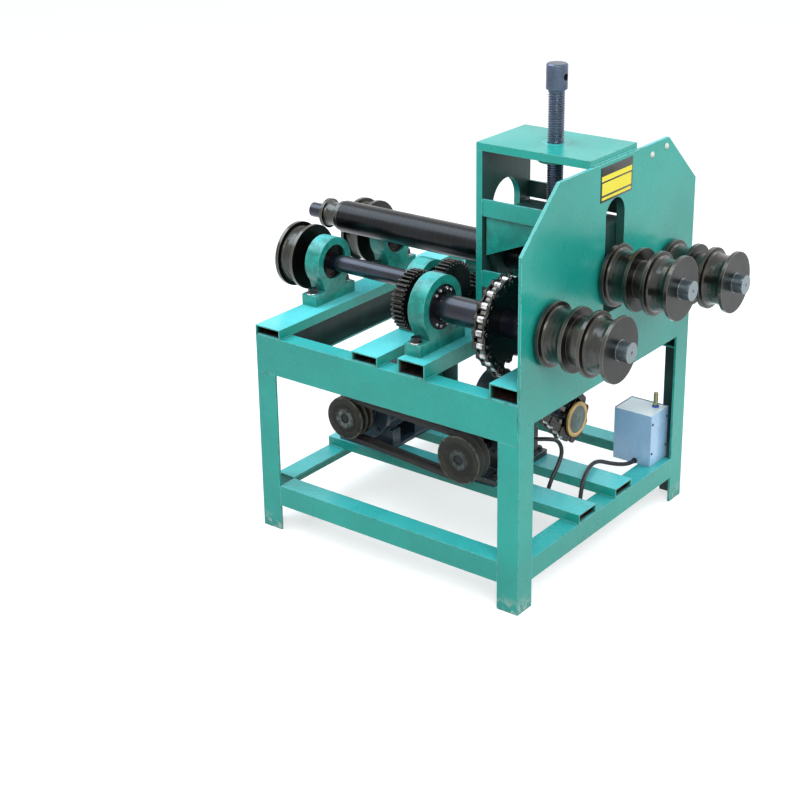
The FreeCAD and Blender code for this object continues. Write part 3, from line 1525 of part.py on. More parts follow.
def rounded_route(points):
    """Straight runs joined by tangent arcs, each as large as its two runs allow."""
    edges, radii, length = [], [], 0
    start = points[0]
    for before, corner, after in zip(points, points[1:], points[2:]):
        arriving, leaving = corner.sub(before), after.sub(corner)
        reach = bend_share * min(arriving.Length, leaving.Length)
        half_turn = arriving.getAngle(leaving) / 2
        radii.append(reach / math.tan(half_turn))
        arriving.normalize()
        leaving.normalize()
        first = corner.sub(Vector(arriving).multiply(reach))
        last = corner.add(Vector(leaving).multiply(reach))
        inward = leaving.sub(arriving).normalize()
        depth = radii[-1] * (1 / math.cos(half_turn) - 1)
        middle = corner.add(inward.multiply(depth))
        edges.append(Part.LineSegment(start, first).toShape())
        edges.append(Part.Arc(first, middle, last).toShape())
        start = last
    edges.append(Part.LineSegment(start, points[-1]).toShape())
    return Part.Wire(edges), radii


def motor_cable():
    """The cable from the control box to the motor, over and between the base tubes."""
    points = [Vector(box_left.value + x, front.value + y, z) for x, y, z in BOX_RUN]
    points += [Vector(x, front.value + y, z) for x, y, z in CABLE_ROUTE]
    route, radii = rounded_route(points)
    radius = size["cable_radius"].value
    start = points[1].sub(points[0])
    section = Part.Wire([Part.Circle(points[0], start, radius).toShape()])
    tube = route.makePipeShell([section], True, False)
    print("cable {:.0f} mm long, arcs of {} mm".format(
        route.Length, ", ".join("{:.0f}".format(value) for value in radii)))
    print("cable volume over section times length: {:.4f}".format(
        tube.Volume / (math.pi * radius * radius * route.Length)))
    item = doc.addObject("Part::Feature", "cable")
    item.Shape = tube
    return item


keep("motor_cable", motor_cable())

doc.recompute()

# ---------------------------------------------------------------- check and write

for item in doc.Objects:
    if "Invalid" in item.State or "Error" in item.State:
        raise RuntimeError("{} ({}) failed: {}".format(item.Name, item.Label, item.State))
for node in nodes:
    shape = node.Shape
    if shape.isNull() or not shape.isValid() or not shape.Solids:
        raise RuntimeError("{} has no valid solid".format(node.Label))

os.makedirs("parts", exist_ok=True)
for node in nodes:
    node.Shape.exportStep("parts/{}.step".format(node.Label))
print("{} nodes, {} solids".format(len(nodes), sum(len(node.Shape.Solids) for node in nodes)))
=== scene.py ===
import math

import bmesh
import bpy
from bpy.props import FloatProperty, FloatVectorProperty, IntProperty, PointerProperty
from mathutils import Matrix, Vector


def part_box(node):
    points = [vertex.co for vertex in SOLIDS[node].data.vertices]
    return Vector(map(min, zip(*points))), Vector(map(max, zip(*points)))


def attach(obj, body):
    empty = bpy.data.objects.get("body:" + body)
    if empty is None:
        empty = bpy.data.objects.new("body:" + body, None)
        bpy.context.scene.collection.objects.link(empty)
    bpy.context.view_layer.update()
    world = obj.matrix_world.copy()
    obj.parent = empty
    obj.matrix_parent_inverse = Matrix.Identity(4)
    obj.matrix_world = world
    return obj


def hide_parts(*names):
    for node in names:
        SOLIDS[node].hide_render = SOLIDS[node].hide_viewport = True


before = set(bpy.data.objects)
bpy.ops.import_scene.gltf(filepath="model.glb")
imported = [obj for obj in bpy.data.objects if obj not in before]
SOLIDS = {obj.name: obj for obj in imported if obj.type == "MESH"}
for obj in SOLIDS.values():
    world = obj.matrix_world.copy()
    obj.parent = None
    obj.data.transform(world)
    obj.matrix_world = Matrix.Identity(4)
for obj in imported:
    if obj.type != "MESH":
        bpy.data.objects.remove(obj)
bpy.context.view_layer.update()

bl_info = {
    "name": "Ring Roller",
    "version": (1, 0, 0),
    "blender": (4, 5, 0),
    "location": "View3D > Sidebar > Ring Roller",
    "description": "Finishes and small parts for a three-roll bender on a welded stand",
    "category": "Object",
}

# Places on the machine, in metres. The origin is on the floor. Axes that run along Y are
# given as (x, z), and those of the left and right side by their distance from the middle.
PLATE_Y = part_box("front_plate")[0].y
BACK_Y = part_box("back_rail")[1].y
MAIN_AXIS = (0.279, 0.684)
CENTRE_AXIS = (0.0, 0.7485)
REAR_AXIS = (0.13568, 0.670)
OUTPUT_AXIS = (0.017, 0.33505)
IDLER_AXIS = (0.0, 0.5852)
NOSE_Y = PLATE_Y - 0.180
CHAIN_Y = PLATE_Y + 0.123
SCREW_Y = PLATE_Y + 0.170
GEARBOX_Y = PLATE_Y + 0.317
MOTOR_Y = PLATE_Y + 0.687
WORM_Z = 0.243
MOTOR_Z = 0.262
DECK_Z = 0.580
RAIL_Z = 0.540
LEG_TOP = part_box("legs")[1].z
LOW_RAIL_Z = 0.128
LOW_TUBES_X = (-0.088, 0.088)
TUBE_HALF = 0.040
FLAT_TUBE = 0.026

CHAIN_PITCH = 0.03175
CHAIN_LINKS = 44
LARGE_TEETH = 20
SMALL_TEETH = 10

# The round-topped slot of the front plate: half its width, its foot, where its top starts.
SLOT = (0.0435, 0.655, 0.8955)

# The free cable: the same points as the route of its solid, from the plate's front back.
CABLE_POINTS = (
    (0.256, 0.066, 0.136), (0.230, 0.066, 0.136), (0.196, 0.092, 0.142),
    (0.142, 0.122, 0.168), (0.034, 0.088, 0.168), (0.014, 0.084, 0.118),
    (0.008, 0.084, 0.082), (0.004, 0.110, 0.056), (0.000, 0.146, 0.056),
    (-0.002, 0.172, 0.082), (-0.002, 0.174, 0.114), (0.014, 0.171, 0.150),
    (0.044, 0.169, 0.180), (0.062, 0.169, 0.212), (0.040, 0.170, 0.250),
    (-0.008, 0.174, 0.270), (-0.062, 0.192, 0.284), (-0.098, 0.236, 0.296),
    (-0.106, 0.304, 0.304), (-0.104, 0.386, 0.300), (-0.092, 0.470, 0.318),
    (-0.066, 0.545, 0.346), (-0.040, 0.600, 0.359), (-0.040, 0.637, 0.359),
)

CAMERA_PLACE = (-3.2625, -2.2439, 2.0390)
CAMERA_SHIFT = -0.1
SENSOR_WIDTH = 36.0
FLOOR_GLOW = 0.62
WHITE = (1.0, 1.0, 1.0)

SIDES = (-1, 1)
LEFT, RIGHT = (-1, 0, 0), (1, 0, 0)
FRONT, BACK = (0, -1, 0), (0, 1, 0)
UP = (0, 0, 1)


# ---------------------------------------------------------------- settings

def shade(red, green, blue):
    """A colour given in 0..255 display values, as the linear colour that shaders take."""
    def linear(part):
        part /= 255
        return part / 12.92 if part <= 0.04045 else ((part + 0.055) / 1.055) ** 2.4
    return (linear(red), linear(green), linear(blue))


def colour_setting(name, description, *display):
    return FloatVectorProperty(name=name, description=description, default=shade(*display),
                               subtype="COLOR", size=3, min=0.0, max=1.0)


def length_setting(name, description, default):
    return FloatProperty(name=name, description=description, default=default, unit="LENGTH")


def angle_setting(name, description, degrees):
    return FloatProperty(name=name, description=description, default=math.radians(degrees),
                         unit="ROTATION")


def power_setting(name, description, default):
    return FloatProperty(name=name, description=description, default=default, unit="POWER")


class FinishSettings(bpy.types.PropertyGroup):
    """Colours of the machine's finishes."""
    enamel: colour_setting("Enamel", "Paint of the stand, tower and housings", 30, 157, 143)
    rust: colour_setting("Rust", "Rust on bare edges and chips", 96, 58, 36)
    roll_steel: colour_setting("Roll steel", "Hardened steel of the forming rolls", 22, 21, 16)
    shaft_steel: colour_setting("Shaft steel", "Blackened steel of the shafts", 34, 38, 50)
    chain_steel: colour_setting("Chain steel", "Oiled plates of chain and sprockets", 40, 39, 39)
    pulley_iron: colour_setting("Pulley iron", "Cast iron of the pulleys", 54, 53, 47)
    gearbox_paint: colour_setting("Gearbox paint", "Paint of the gearbox", 46, 52, 54)
    motor_paint: colour_setting("Motor paint", "Paint of the motor", 52, 62, 76)
    box_paint: colour_setting("Box paint", "Paint of the control box", 160, 196, 230)


class CableSettings(bpy.types.PropertyGroup):
    """Sizes of the free cable."""
    diameter: length_setting("Diameter", "Outer diameter of the cable", 0.011)
    fineness: IntProperty(name="Fineness", description="Steps of the curve between points",
                          default=10, min=4, max=24)


class ChainSettings(bpy.types.PropertyGroup):
    """Sizes of the roller chain, which keeps its pitch."""
    plate_half: length_setting("Plate", "Half height of a plate at its pins", 0.013)
    waist_half: length_setting("Waist", "Half height of a plate at its waist", 0.0096)
    roller: length_setting("Roller", "Radius of a roller", 0.0095)
    pin: length_setting("Pin", "Radius of a riveted pin", 0.0046)


class ScrewSettings(bpy.types.PropertyGroup):
    """Sizes of the press screw's thread."""
    pitch: length_setting("Pitch", "Distance between two turns of the thread", 0.006)
    depth: length_setting("Depth", "Depth of the thread", 0.0026)


class WeldSettings(bpy.types.PropertyGroup):
    """Size of the weld beads."""
    leg: length_setting("Bead", "Radius of a weld bead", 0.0026)


class SignSettings(bpy.types.PropertyGroup):
    """Size of the sign on the front plate."""
    width: length_setting("Width", "Width of the sign", 0.146)
    height: length_setting("Height", "Height of the sign", 0.084)
    thickness: length_setting("Thickness", "Thickness of the sign", 0.0008)


class StageSettings(bpy.types.PropertyGroup):
    """Camera and lamps."""
    lens: FloatProperty(name="Lens", description="Focal length for a 36 mm wide sensor",
                        default=73.97235, min=10, max=200)
    azimuth: angle_setting("Azimuth", "Camera's turn round the machine", -52.206)
    elevation: angle_setting("Elevation", "Camera's height as an angle", 20.578)
    roll: angle_setting("Roll", "Camera's tilt about its own axis", -0.858)
    key_power: power_setting("Key lamp", "Power of the large soft lamp", 118.0)
    fill_power: power_setting("Fill lamp", "Power of the fill lamp", 46.0)
    back_power: power_setting("Back lamp", "Power of the lamp high behind", 120.0)
    sky: FloatProperty(name="Sky", description="Strength of the light from above",
                       default=0.95, min=0.0, max=3.0)
    ground: FloatProperty(name="Ground", description="Strength of the light from below",
                          default=0.3, min=0.0, max=3.0)


# ---------------------------------------------------------------- node trees

class NodeTree:
    """The node tree of a material or a world, emptied and built node by node."""

    def __init__(self, owner):
        owner.use_nodes = True
        self.tree = owner.node_tree
        self.tree.nodes.clear()

    def new(self, kind, *values, **named):
        """Adds a node and sets its inputs in order or by name, with _ for a space."""
        node = self.tree.nodes.new("ShaderNode" + kind)
        for target, value in zip(node.inputs, values):
            self.feed(target, value)
        self.feed_named(node, named)
        return node

    def feed_named(self, node, named):
        """Sets a node's inputs by name."""
        for name, value in named.items():
            self.feed(node.inputs[name.replace("_", " ")], value)

    def feed(self, target, value):
        """Sets a socket from another socket or from a plain value."""
        if isinstance(value, bpy.types.NodeSocket):
            self.tree.links.new(value, target)
        elif hasattr(value, "__len__") and len(value) == 3 and target.type == "RGBA":
            target.default_value = (*value, 1.0)
        else:
            target.default_value = value

    def operate(self, kind, operation, *values):
        """A node of arithmetic on numbers or on vectors."""
        node = self.new(kind, *values)
        node.operation = operation
        return node

    def sums(self, operation, first, second=0.0):
        return self.operate("Math", operation, first, second).outputs[0]

    def times(self, first, second):
        return self.sums("MULTIPLY", first, second)

    def plus(self, first, second):
        return self.sums("ADD", first, second)

    def minus(self, first, second):
        return self.sums("SUBTRACT", first, second)

    def most(self, first, second):
        return self.sums("MAXIMUM", first, second)

    def size(self, value):
        return self.sums("ABSOLUTE", value)

    def away(self, value, middle):
        """How far a value is from another, on either side."""
        return self.size(self.minus(value, middle))

    def shows_background(self):
        """1 for rays that show the background: seen directly, in metal or through glass."""
        rays = self.new("LightPath").outputs
        share = self.most(rays["Is Camera Ray"], rays["Is Glossy Ray"])
        return self.most(share, rays["Is Transmission Ray"])


# ---------------------------------------------------------------- finishes

def scaled(colour, factor, lift=0.0):
    """A colour made darker or lighter, kept within what a surface can have."""
    return [min(1.0, part * factor + lift) for part in colour]


class Finish(NodeTree):
    """One procedural material, whose colour is laid on in layers."""

    def __init__(self, name):
        self.material = bpy.data.materials.new(name)
        super().__init__(self.material)
        self.shader = self.new("BsdfPrincipled")
        self.new("OutputMaterial", Surface=self.shader.outputs[0])
        self.place = self.new("TexCoord").outputs["Object"]
        self.tint = None

    def done(self, gloss, normal, **values):
        """Connects the layers to the shader and gives the finished material."""
        self.feed_named(self.shader, dict(values, Base_Color=self.tint, Roughness=gloss,
                                          Normal=normal))
        return self.material

    def length(self, vector):
        return self.operate("VectorMath", "LENGTH", vector, (0.0, 0.0, 0.0)).outputs["Value"]

    def split(self, vector):
        return self.new("SeparateXYZ", Vector=vector).outputs

    def join(self, x=0.0, y=0.0, z=0.0):
        return self.new("CombineXYZ", X=x, Y=y, Z=z).outputs[0]

    def noise(self, scale, detail=4.0, rough=0.55, place=None, stretch=None):
        place = self.place if place is None else place
        if stretch:
            place = self.operate("VectorMath", "MULTIPLY", place, stretch).outputs["Vector"]
        return self.new("TexNoise", Vector=place, Scale=scale, Detail=detail,
                        Roughness=rough).outputs["Fac"]

    def range(self, value, low, high, out_low=0.0, out_high=1.0):
        """Maps a value between two limits on to two others, clamped and smooth."""
        node = self.new("MapRange", Value=value, From_Min=low, From_Max=high, To_Min=out_low,
                        To_Max=out_high)
        node.interpolation_type = "SMOOTHSTEP"
        return node.outputs[0]

    def patches(self, grain, limits, shares=(0.0, 1.0), stretch=None):
        """Patches of noise: its scale, detail and roughness, where they start, how strong."""
        return self.range(self.noise(*grain, stretch=stretch), *limits, *shares)

    def blend(self, share, first, second):
        """A colour between two others."""
        node = self.new("Mix")
        node.data_type = "RGBA"
        factor, colour_a, colour_b, result = 0, 6, 7, 2
        for index, value in ((factor, share), (colour_a, first), (colour_b, second)):
            self.feed(node.inputs[index], value)
        return node.outputs[result]

    def mottle(self, share, dark, light):
        """Starts the colour as a blend of two."""
        self.tint = self.blend(share, dark, light)

    def lay(self, share, colour):
        """Lays a colour over those before it."""
        self.tint = self.blend(share, self.tint, colour)

    def soft_edges(self, radius):
        """The normal, with edges rounded by a radius."""
        node = self.new("Bevel", Radius=radius)
        node.samples = 4
        return node.outputs[0]

    def true_normal(self):
        return self.new("NewGeometry").outputs["Normal"]

    def outer_edges(self, radius):
        """1 on outer edges and 0 on flats, from how far the rounded normal leans."""
        lean = self.operate("VectorMath", "DOT_PRODUCT", self.soft_edges(radius),
                            self.true_normal()).outputs["Value"]
        return self.range(lean, 0.995, 0.93)

    def bump(self, height, strength, distance, edge):
        """Relief from a height of 0 to 1 over a distance, on edges rounded by a radius."""
        return self.new("Bump", Strength=strength, Distance=distance, Height=height,
                        Normal=self.soft_edges(edge)).outputs[0]

    def upward(self):
        """1 on faces that look up, where a painted sky sheen is laid."""
        return self.range(self.split(self.true_normal())[2], 0.6, 0.95)

    def hollow_shade(self, reach):
        """1 deep in corners and hollows, where painted shade is laid, and 0 in the open."""
        node = self.new("AmbientOcclusion", Distance=reach)
        node.samples = 6
        return self.range(node.outputs["AO"], 0.8, 0.25)

    def radius_from(self, axis, mirrored):
        """Distance from an axis that runs along Y, and the place along it."""
        x, y, z = self.split(self.place)[:3]
        across = self.minus(self.size(x) if mirrored else x, axis[0])
        return self.length(self.join(across, 0.0, self.minus(z, axis[1]))), y


def enamel(name, colour, rust, wear=1.0, edge=0.35, pale=shade(84, 206, 214),
           dusty=(0.3, 0.6), soiled=None, cast=0.0, coat=0.1, joints=()):
    """Brushed-on gloss enamel: slight runs and unevenness, chips and rust specks.

    wear is how bare the chips are, edge how strongly a pale highlight is painted on the
    edges, and coat how wet the gloss looks. pale is the colour of a painted sky sheen on
    faces that look up, and dusty its least and most share. soiled takes the finish and gives
    where it is covered, and the colour there: bare rusty steel inside open tubes, painted
    shade on faces hidden from the light. cast is how strongly a rough casting shows through.
    joints are levels where the piece is welded flush to the next one, so that no edge shows
    there.
    """
    paint = Finish(name)
    # The paint itself: broad and fine changes of depth, a painted sky sheen on top, painted shade
    # in the corners.
    broad = paint.noise(3.5, 3.0)
    paint.mottle(paint.range(broad, 0.3, 0.7), scaled(colour, 0.88), scaled(colour, 1.1))
    paint.lay(paint.patches((60.0, 5.0, 0.65), (0.35, 0.75), (0.0, 0.14)), scaled(colour, 0.6))
    # Painted sky sheen: faces that look up are laid paler.
    paint.lay(paint.times(paint.upward(), paint.range(broad, 0.3, 0.7, *dusty)), pale)
    # Painted shade: corners and hollows are darkened in patches.
    shade_patches = paint.patches((16.0, 5.0, 0.7), (0.25, 0.7), (0.25, 0.75))
    paint.lay(paint.times(paint.hollow_shade(0.07), shade_patches), scaled(colour, 0.3, 0.006))
    if cast:
        paint.lay(paint.patches((24.0, 6.0, 0.7), (0.4, 0.62), (0.0, 0.8 * cast)),
                  scaled(colour, 0.34))
    # Wear and a painted highlight: pale painted highlights on the edges, chips down to rust, rust
    # specks, and scuffs at the feet.
    edges = paint.outer_edges(0.0025)
    height = paint.split(paint.place)[2]
    for level in joints:
        edges = paint.times(edges, paint.range(paint.away(height, level), 0.003, 0.006))
    chips = paint.times(edges, paint.patches((38.0, 6.0, 0.7), (0.52, 0.6)))
    specks = paint.times(paint.patches((46.0, 8.0, 0.75), (0.715, 0.735)),
                         paint.patches((5.0, 2.0), (0.42, 0.6)))
    bare = paint.times(paint.most(chips, specks), 0.85 * wear)
    # Painted highlight: the edges are laid pale, as if they catch the light.
    paint.lay(paint.times(edges, edge), shade(176, 226, 228))
    paint.lay(bare, rust)
    scuffs = paint.patches((34.0, 6.0, 0.7), (0.5, 0.58), (0.0, 0.8))
    paint.lay(paint.times(paint.range(height, 0.05, 0.004), scuffs), shade(178, 184, 174))
    # The surface: duller where it is bare or covered, with brushed runs and hollow chips.
    gloss = paint.most(paint.patches((9.0, 4.0), (0.3, 0.7), (0.22, 0.36)),
                       paint.times(bare, 0.8))
    # Bare rusty steel inside open tubes, and painted shade on faces hidden from the light.
    if soiled:
        share, cover = soiled(paint)
        paint.lay(share, cover)
        gloss = paint.most(gloss, paint.times(share, 0.5))
    runs = paint.times(paint.noise(22.0, 2.0, stretch=(1, 1, 0.25)), 2.0)
    relief = paint.minus(paint.plus(paint.noise(120.0, 3.0), runs), paint.times(bare, 1.5))
    if cast:
        relief = paint.plus(relief, paint.times(paint.noise(75.0, 4.0, 0.65), 9.0 * cast))
    return paint.done(gloss, paint.bump(relief, 0.16, 0.0006, 0.0016), Coat_Weight=coat,
                      Coat_Roughness=0.16, Specular_IOR_Level=0.35)


def open_tubes(along, middles, low, high, mouth):
    """Dark rusty steel inside open tubes, with paint that strays a little way in.

    along is 0 for tubes that run along X and 1 for Y. middles are their places across, low
    and high their lowest and highest faces, mouth the middle and half of their length.
    """
    wall, soft, stray = 0.0024, 0.0002, 0.012
    level, reach = (low + high) / 2, (high - low) / 2

    def inside(paint, place, middle, half):
        return paint.range(paint.away(place, middle), half - wall + soft, half - wall)

    def soiled(paint):
        places = paint.split(paint.place)
        shares = [paint.times(inside(paint, places[1 - along], middle, TUBE_HALF),
                              inside(paint, places[2], level, reach)) for middle in middles]
        run = paint.away(places[along], mouth[0])
        share = paint.times(paint.most(*shares), paint.range(run, mouth[1], mouth[1] - stray))
        stains = paint.patches((55.0, 6.0, 0.7), (0.46, 0.66))
        return share, paint.blend(stains, shade(24, 24, 22), shade(78, 50, 36))
    return soiled


def smeared_shade(paint):
    """The colour of painted shade, near black and smeared thin enough in places to show the paint.
    """
    smears = paint.patches((9.0, 5.0, 0.6), (0.35, 0.7), stretch=(1, 1, 0.4))
    return paint.blend(smears, shade(24, 28, 28), shade(36, 66, 62))


def shaded_within(x=None, y=None, z=None):
    """Painted shade, dark and smeared, between limits on the distance from the middle, y and z."""
    soft = 0.0002

    def soiled(paint):
        places = list(paint.split(paint.place)[:3])
        places[0] = paint.size(places[0])
        share = 0.92
        for place, limits in zip(places, (x, y, z)):
            if limits:
                low, high = limits
                share = paint.times(share, paint.range(place, low - soft, low + soft))
                share = paint.times(share, paint.range(place, high + soft, high - soft))
        return share, smeared_shade(paint)
    return soiled


def shaded_slot(half, low, middle):
    """Painted shade on the walls of an upright slot whose round top starts at middle."""
    def soiled(paint):
        places = paint.split(paint.place)
        above = paint.most(paint.minus(places[2], middle), 0.0)
        away = paint.length(paint.join(places[0], 0.0, above))
        share = paint.times(paint.range(away, half + 0.0004, half + 0.0002, 0.0, 0.9),
                            paint.range(places[2], low - 0.0004, low - 0.0002))
        return share, smeared_shade(paint)
    return soiled


def turned_steel(name, colour, axis, mirrored=True, rough=(0.26, 0.42), rims=None,
                 lines=420.0, nose=None, coat=0.45, dull=0.0, groove=None):
    """Oily steel from the lathe: fine rings round its axis, and worn edges with a painted
    highlight.

    mirrored is for pieces on both sides of the middle, and lines is how fine the rings are.
    rims are the radii between which an outer rim turns bright, from wear and as a painted
    highlight, and nose the place of a pale shaft end. dull is how much the flat ends lose of
    their shine, and groove the radii between which a groove's floor turns from bright to
    dark, its brightness both wear and a painted highlight.
    """
    steel = Finish(name)
    radius, along = steel.radius_from(axis, mirrored)
    rings = steel.noise(lines, 2.0, 0.6, place=steel.join(0.0, steel.plus(radius, along), 0.0))
    cloud = steel.noise(14.0, 5.0, 0.6)
    steel.mottle(steel.range(cloud, 0.3, 0.72), scaled(colour, 0.62), scaled(colour, 1.35))
    steel.lay(steel.range(rings, 0.4, 0.8, 0.0, 0.35), scaled(colour, 2.2, 0.02))
    brown = [part * 0.8 + more for part, more in zip(colour, (0.022, 0.012, 0.0))]
    steel.lay(steel.patches((30.0, 6.0, 0.7), (0.52, 0.7), (0.0, 0.55)), brown)
    if nose:
        steel.lay(steel.range(along, nose + 0.001, nose), shade(106, 120, 126))
    oil = 0.2
    if dull:
        lean = steel.size(steel.split(steel.true_normal())[1])
        ends = steel.times(steel.range(lean, 0.9, 0.99), dull)
        smears = steel.patches((26.0, 5.0, 0.7), (0.3, 0.7), (0.35, 0.9))
        steel.lay(steel.times(ends, smears), scaled(colour, 0.3))
        coat = steel.times(steel.minus(1.0, ends), coat)
        # Wear and a painted highlight: the groove floors are laid lighter in streaks.
        floor = steel.times(steel.range(radius, groove[1], groove[0]),
                            steel.range(lean, 0.9, 0.8))
        streaks = steel.noise(30.0, 5.0, 0.7, stretch=(1, 3, 1))
        wear_and_highlight = steel.range(streaks, 0.3, 0.7, 0.1, 0.6)
        steel.lay(steel.times(floor, wear_and_highlight), shade(84, 86, 80))
        oil = steel.range(streaks, 0.35, 0.65, 0.1, 0.24)
    # Wear and a painted highlight: edges, and rims where given, are laid bright.
    bright = steel.times(steel.outer_edges(0.0022), 0.4)
    if rims:
        bright = steel.most(bright, steel.range(radius, *rims, 0.0, 0.12))
    steel.lay(bright, shade(158, 150, 138))
    # The hollow that the lathe's centre leaves in a shaft's end: painted black as its shade, and
    # pressed in by the bump.
    centre = steel.range(radius, 0.0046, 0.004)
    steel.lay(centre, (0.004, 0.004, 0.004))
    relief = steel.minus(rings, steel.times(centre, 8.0))
    return steel.done(steel.range(cloud, 0.25, 0.8, *rough),
                      steel.bump(relief, 0.22, 0.0003, 0.0012), Metallic=0.75,
                      Coat_Weight=coat, Coat_Roughness=oil, Coat_IOR=1.5)


def plain_steel(name, colour, rough, metal=0.85, brown=0.4):
    """Oiled or plated steel with a fine grain, stains and rubbed edges.

    brown is how strongly the stains show.
    """
    steel = Finish(name)
    steel.mottle(steel.patches((18.0, 5.0, 0.6), (0.3, 0.7)), scaled(colour, 0.68),
                 scaled(colour, 1.3))
    stain = steel.patches((44.0, 6.0, 0.7), (0.56, 0.72), (0.0, brown))
    steel.lay(stain, shade(78, 52, 36))
    steel.lay(steel.times(steel.outer_edges(0.0014), 0.5), scaled(colour, 2.4, 0.08))
    gloss = steel.plus(steel.patches((26.0, 4.0), (0.3, 0.7), rough), steel.times(stain, 0.25))
    return steel.done(gloss, steel.bump(steel.noise(420.0, 3.0), 0.15, 0.0003, 0.0008),
                      Metallic=metal)


def chain_finish(name, colour):
    """Dark oiled plates, with rollers rubbed bright between them."""
    steel = Finish(name)
    along = steel.away(steel.split(steel.place)[1], CHAIN_Y)
    cloud = steel.noise(60.0, 5.0, 0.65)
    steel.mottle(steel.range(cloud, 0.3, 0.7), scaled(colour, 0.5), colour)
    steel.lay(steel.times(steel.outer_edges(0.0012), 0.7), shade(140, 134, 128))
    rubbed = steel.blend(steel.range(cloud, 0.35, 0.65), shade(150, 148, 146),
                         shade(226, 226, 226))
    steel.lay(steel.range(along, 0.0096, 0.0092), rubbed)
    return steel.done(steel.patches((40.0, 3.0), (0.3, 0.7), (0.16, 0.32)),
                      steel.bump(steel.noise(300.0, 2.0), 0.12, 0.0003, 0.0009), Metallic=0.9)


def toothed_steel(name, colour, axis, tooth, mirrored=True, hub=None, hub_colour=None):
    """Black oiled disc with teeth that the chain or the next gear keeps bright.

    tooth is the radius at which the teeth start, and hub that of a hub in its own colour.
    """
    steel = Finish(name)
    radius, along = steel.radius_from(axis, mirrored)
    cloud = steel.noise(26.0, 5.0, 0.65)
    steel.mottle(steel.range(cloud, 0.3, 0.7), scaled(colour, 0.45), colour)
    tips = steel.range(radius, tooth, tooth + 0.003, 0.0, 0.55)
    steel.lay(steel.most(tips, steel.times(steel.outer_edges(0.0016), 0.6)),
              shade(150, 144, 138))
    if hub:
        steel.lay(steel.range(radius, hub + 0.0006, hub), hub_colour)
    rings = steel.noise(300.0, 2.0, place=steel.join(0.0, steel.plus(radius, along), 0.0))
    return steel.done(steel.range(cloud, 0.3, 0.7, 0.26, 0.46),
                      steel.bump(rings, 0.2, 0.0003, 0.001), Metallic=0.85)


def pulley_finish(name, colour, place, hub, web, rim, bright):
    """Cast pulley: turned rim and hub, with a recessed web between them in painted shade, by their
    radii.
    """
    iron = Finish(name)
    _, y, z = iron.split(iron.place)[:3]
    radius = iron.length(iron.join(0.0, iron.minus(y, place[0]), iron.minus(z, place[1])))
    cloud = iron.noise(22.0, 6.0, 0.65)
    iron.mottle(iron.range(cloud, 0.3, 0.7), scaled(colour, 0.55), scaled(colour, 1.3))
    radius = iron.plus(radius, iron.patches((70.0, 5.0, 0.7), (0.3, 0.7), (-0.003, 0.003)))
    # Painted shade: the web, recessed between the hub and the web radius, is laid dark.
    dark = iron.times(iron.range(radius, hub, hub + 0.003),
                      iron.range(radius, web, web - 0.003))
    iron.lay(iron.times(dark, 0.7), shade(34, 32, 30))
    rubbed = iron.patches((55.0, 6.0, 0.75), (0.4, 0.62), (0.1 * bright, bright))
    iron.lay(iron.times(iron.range(radius, hub + 0.004, hub - 0.006), rubbed),
             shade(140, 150, 148))
    iron.lay(iron.range(radius, rim - 0.004, rim - 0.001, 0.0, 0.35), shade(150, 140, 128))
    iron.lay(iron.patches((34.0, 6.0, 0.7), (0.5, 0.7), (0.0, 0.4)), shade(84, 62, 46))
    relief = iron.plus(iron.times(dark, -6.0), iron.noise(240.0, 3.0))
    return iron.done(iron.range(cloud, 0.3, 0.7, 0.4, 0.62),
                     iron.bump(relief, 0.3, 0.0006, 0.001), Metallic=0.6)


def gloss_paint(name, colour, rough):
    """Smooth printed or moulded surface in one colour with faint marks."""
    skin = Finish(name)
    skin.mottle(skin.patches((50.0, 5.0, 0.7), (0.55, 0.75), (0.0, 0.25)), colour,
                scaled(colour, 0.7))
    return skin.done(skin.patches((20.0, 3.0), (0.3, 0.7), (rough - 0.06, rough + 0.1)),
                     skin.soft_edges(0.0003))


def rubber(name, colour, rough):
    """Rubber or soft plastic, greyer where it rubs."""
    skin = Finish(name)
    cloud = skin.noise(30.0, 4.0)
    skin.mottle(skin.range(cloud, 0.3, 0.7), scaled(colour, 0.6), scaled(colour, 1.5))
    skin.lay(skin.patches((8.0, 3.0), (0.5, 0.75), (0.0, 0.3)), shade(86, 82, 76))
    return skin.done(skin.range(cloud, 0.25, 0.75, *rough),
                     skin.bump(skin.noise(500.0, 2.0), 0.2, 0.0003, 0.0006))


# The cross tubes take a paler and stronger painted sky sheen on top than the rest of the stand.
SKY_SHEEN = {"pale": shade(106, 226, 232), "dusty": (0.6, 0.92)}
FRONT_TUBES_Y = (PLATE_Y + 0.045, PLATE_Y + 0.310)
REAR_TUBES_Y = (PLATE_Y + 0.452, PLATE_Y + 0.765)
CROSS_RUN = (0.0, 0.400)
LOW_RUN = (0.0385, 0.4025)

# The height of the channels' insides, where painted shade is laid, and a limit past every edge.
CHANNEL_Z = (RAIL_Z - 0.0953, RAIL_Z - 0.0047)
NO_LIMIT = -1.0

ROLL = {"rims": (0.0755, 0.0772), "coat": 0.75, "dull": 0.8, "groove": (0.056, 0.071)}
WHEEL = {**ROLL, "rims": (0.084, 0.0858), "groove": (0.064, 0.080)}
SHAFT = {"rough": (0.2, 0.34)}
GEAR_BLACK = shade(46, 45, 45)

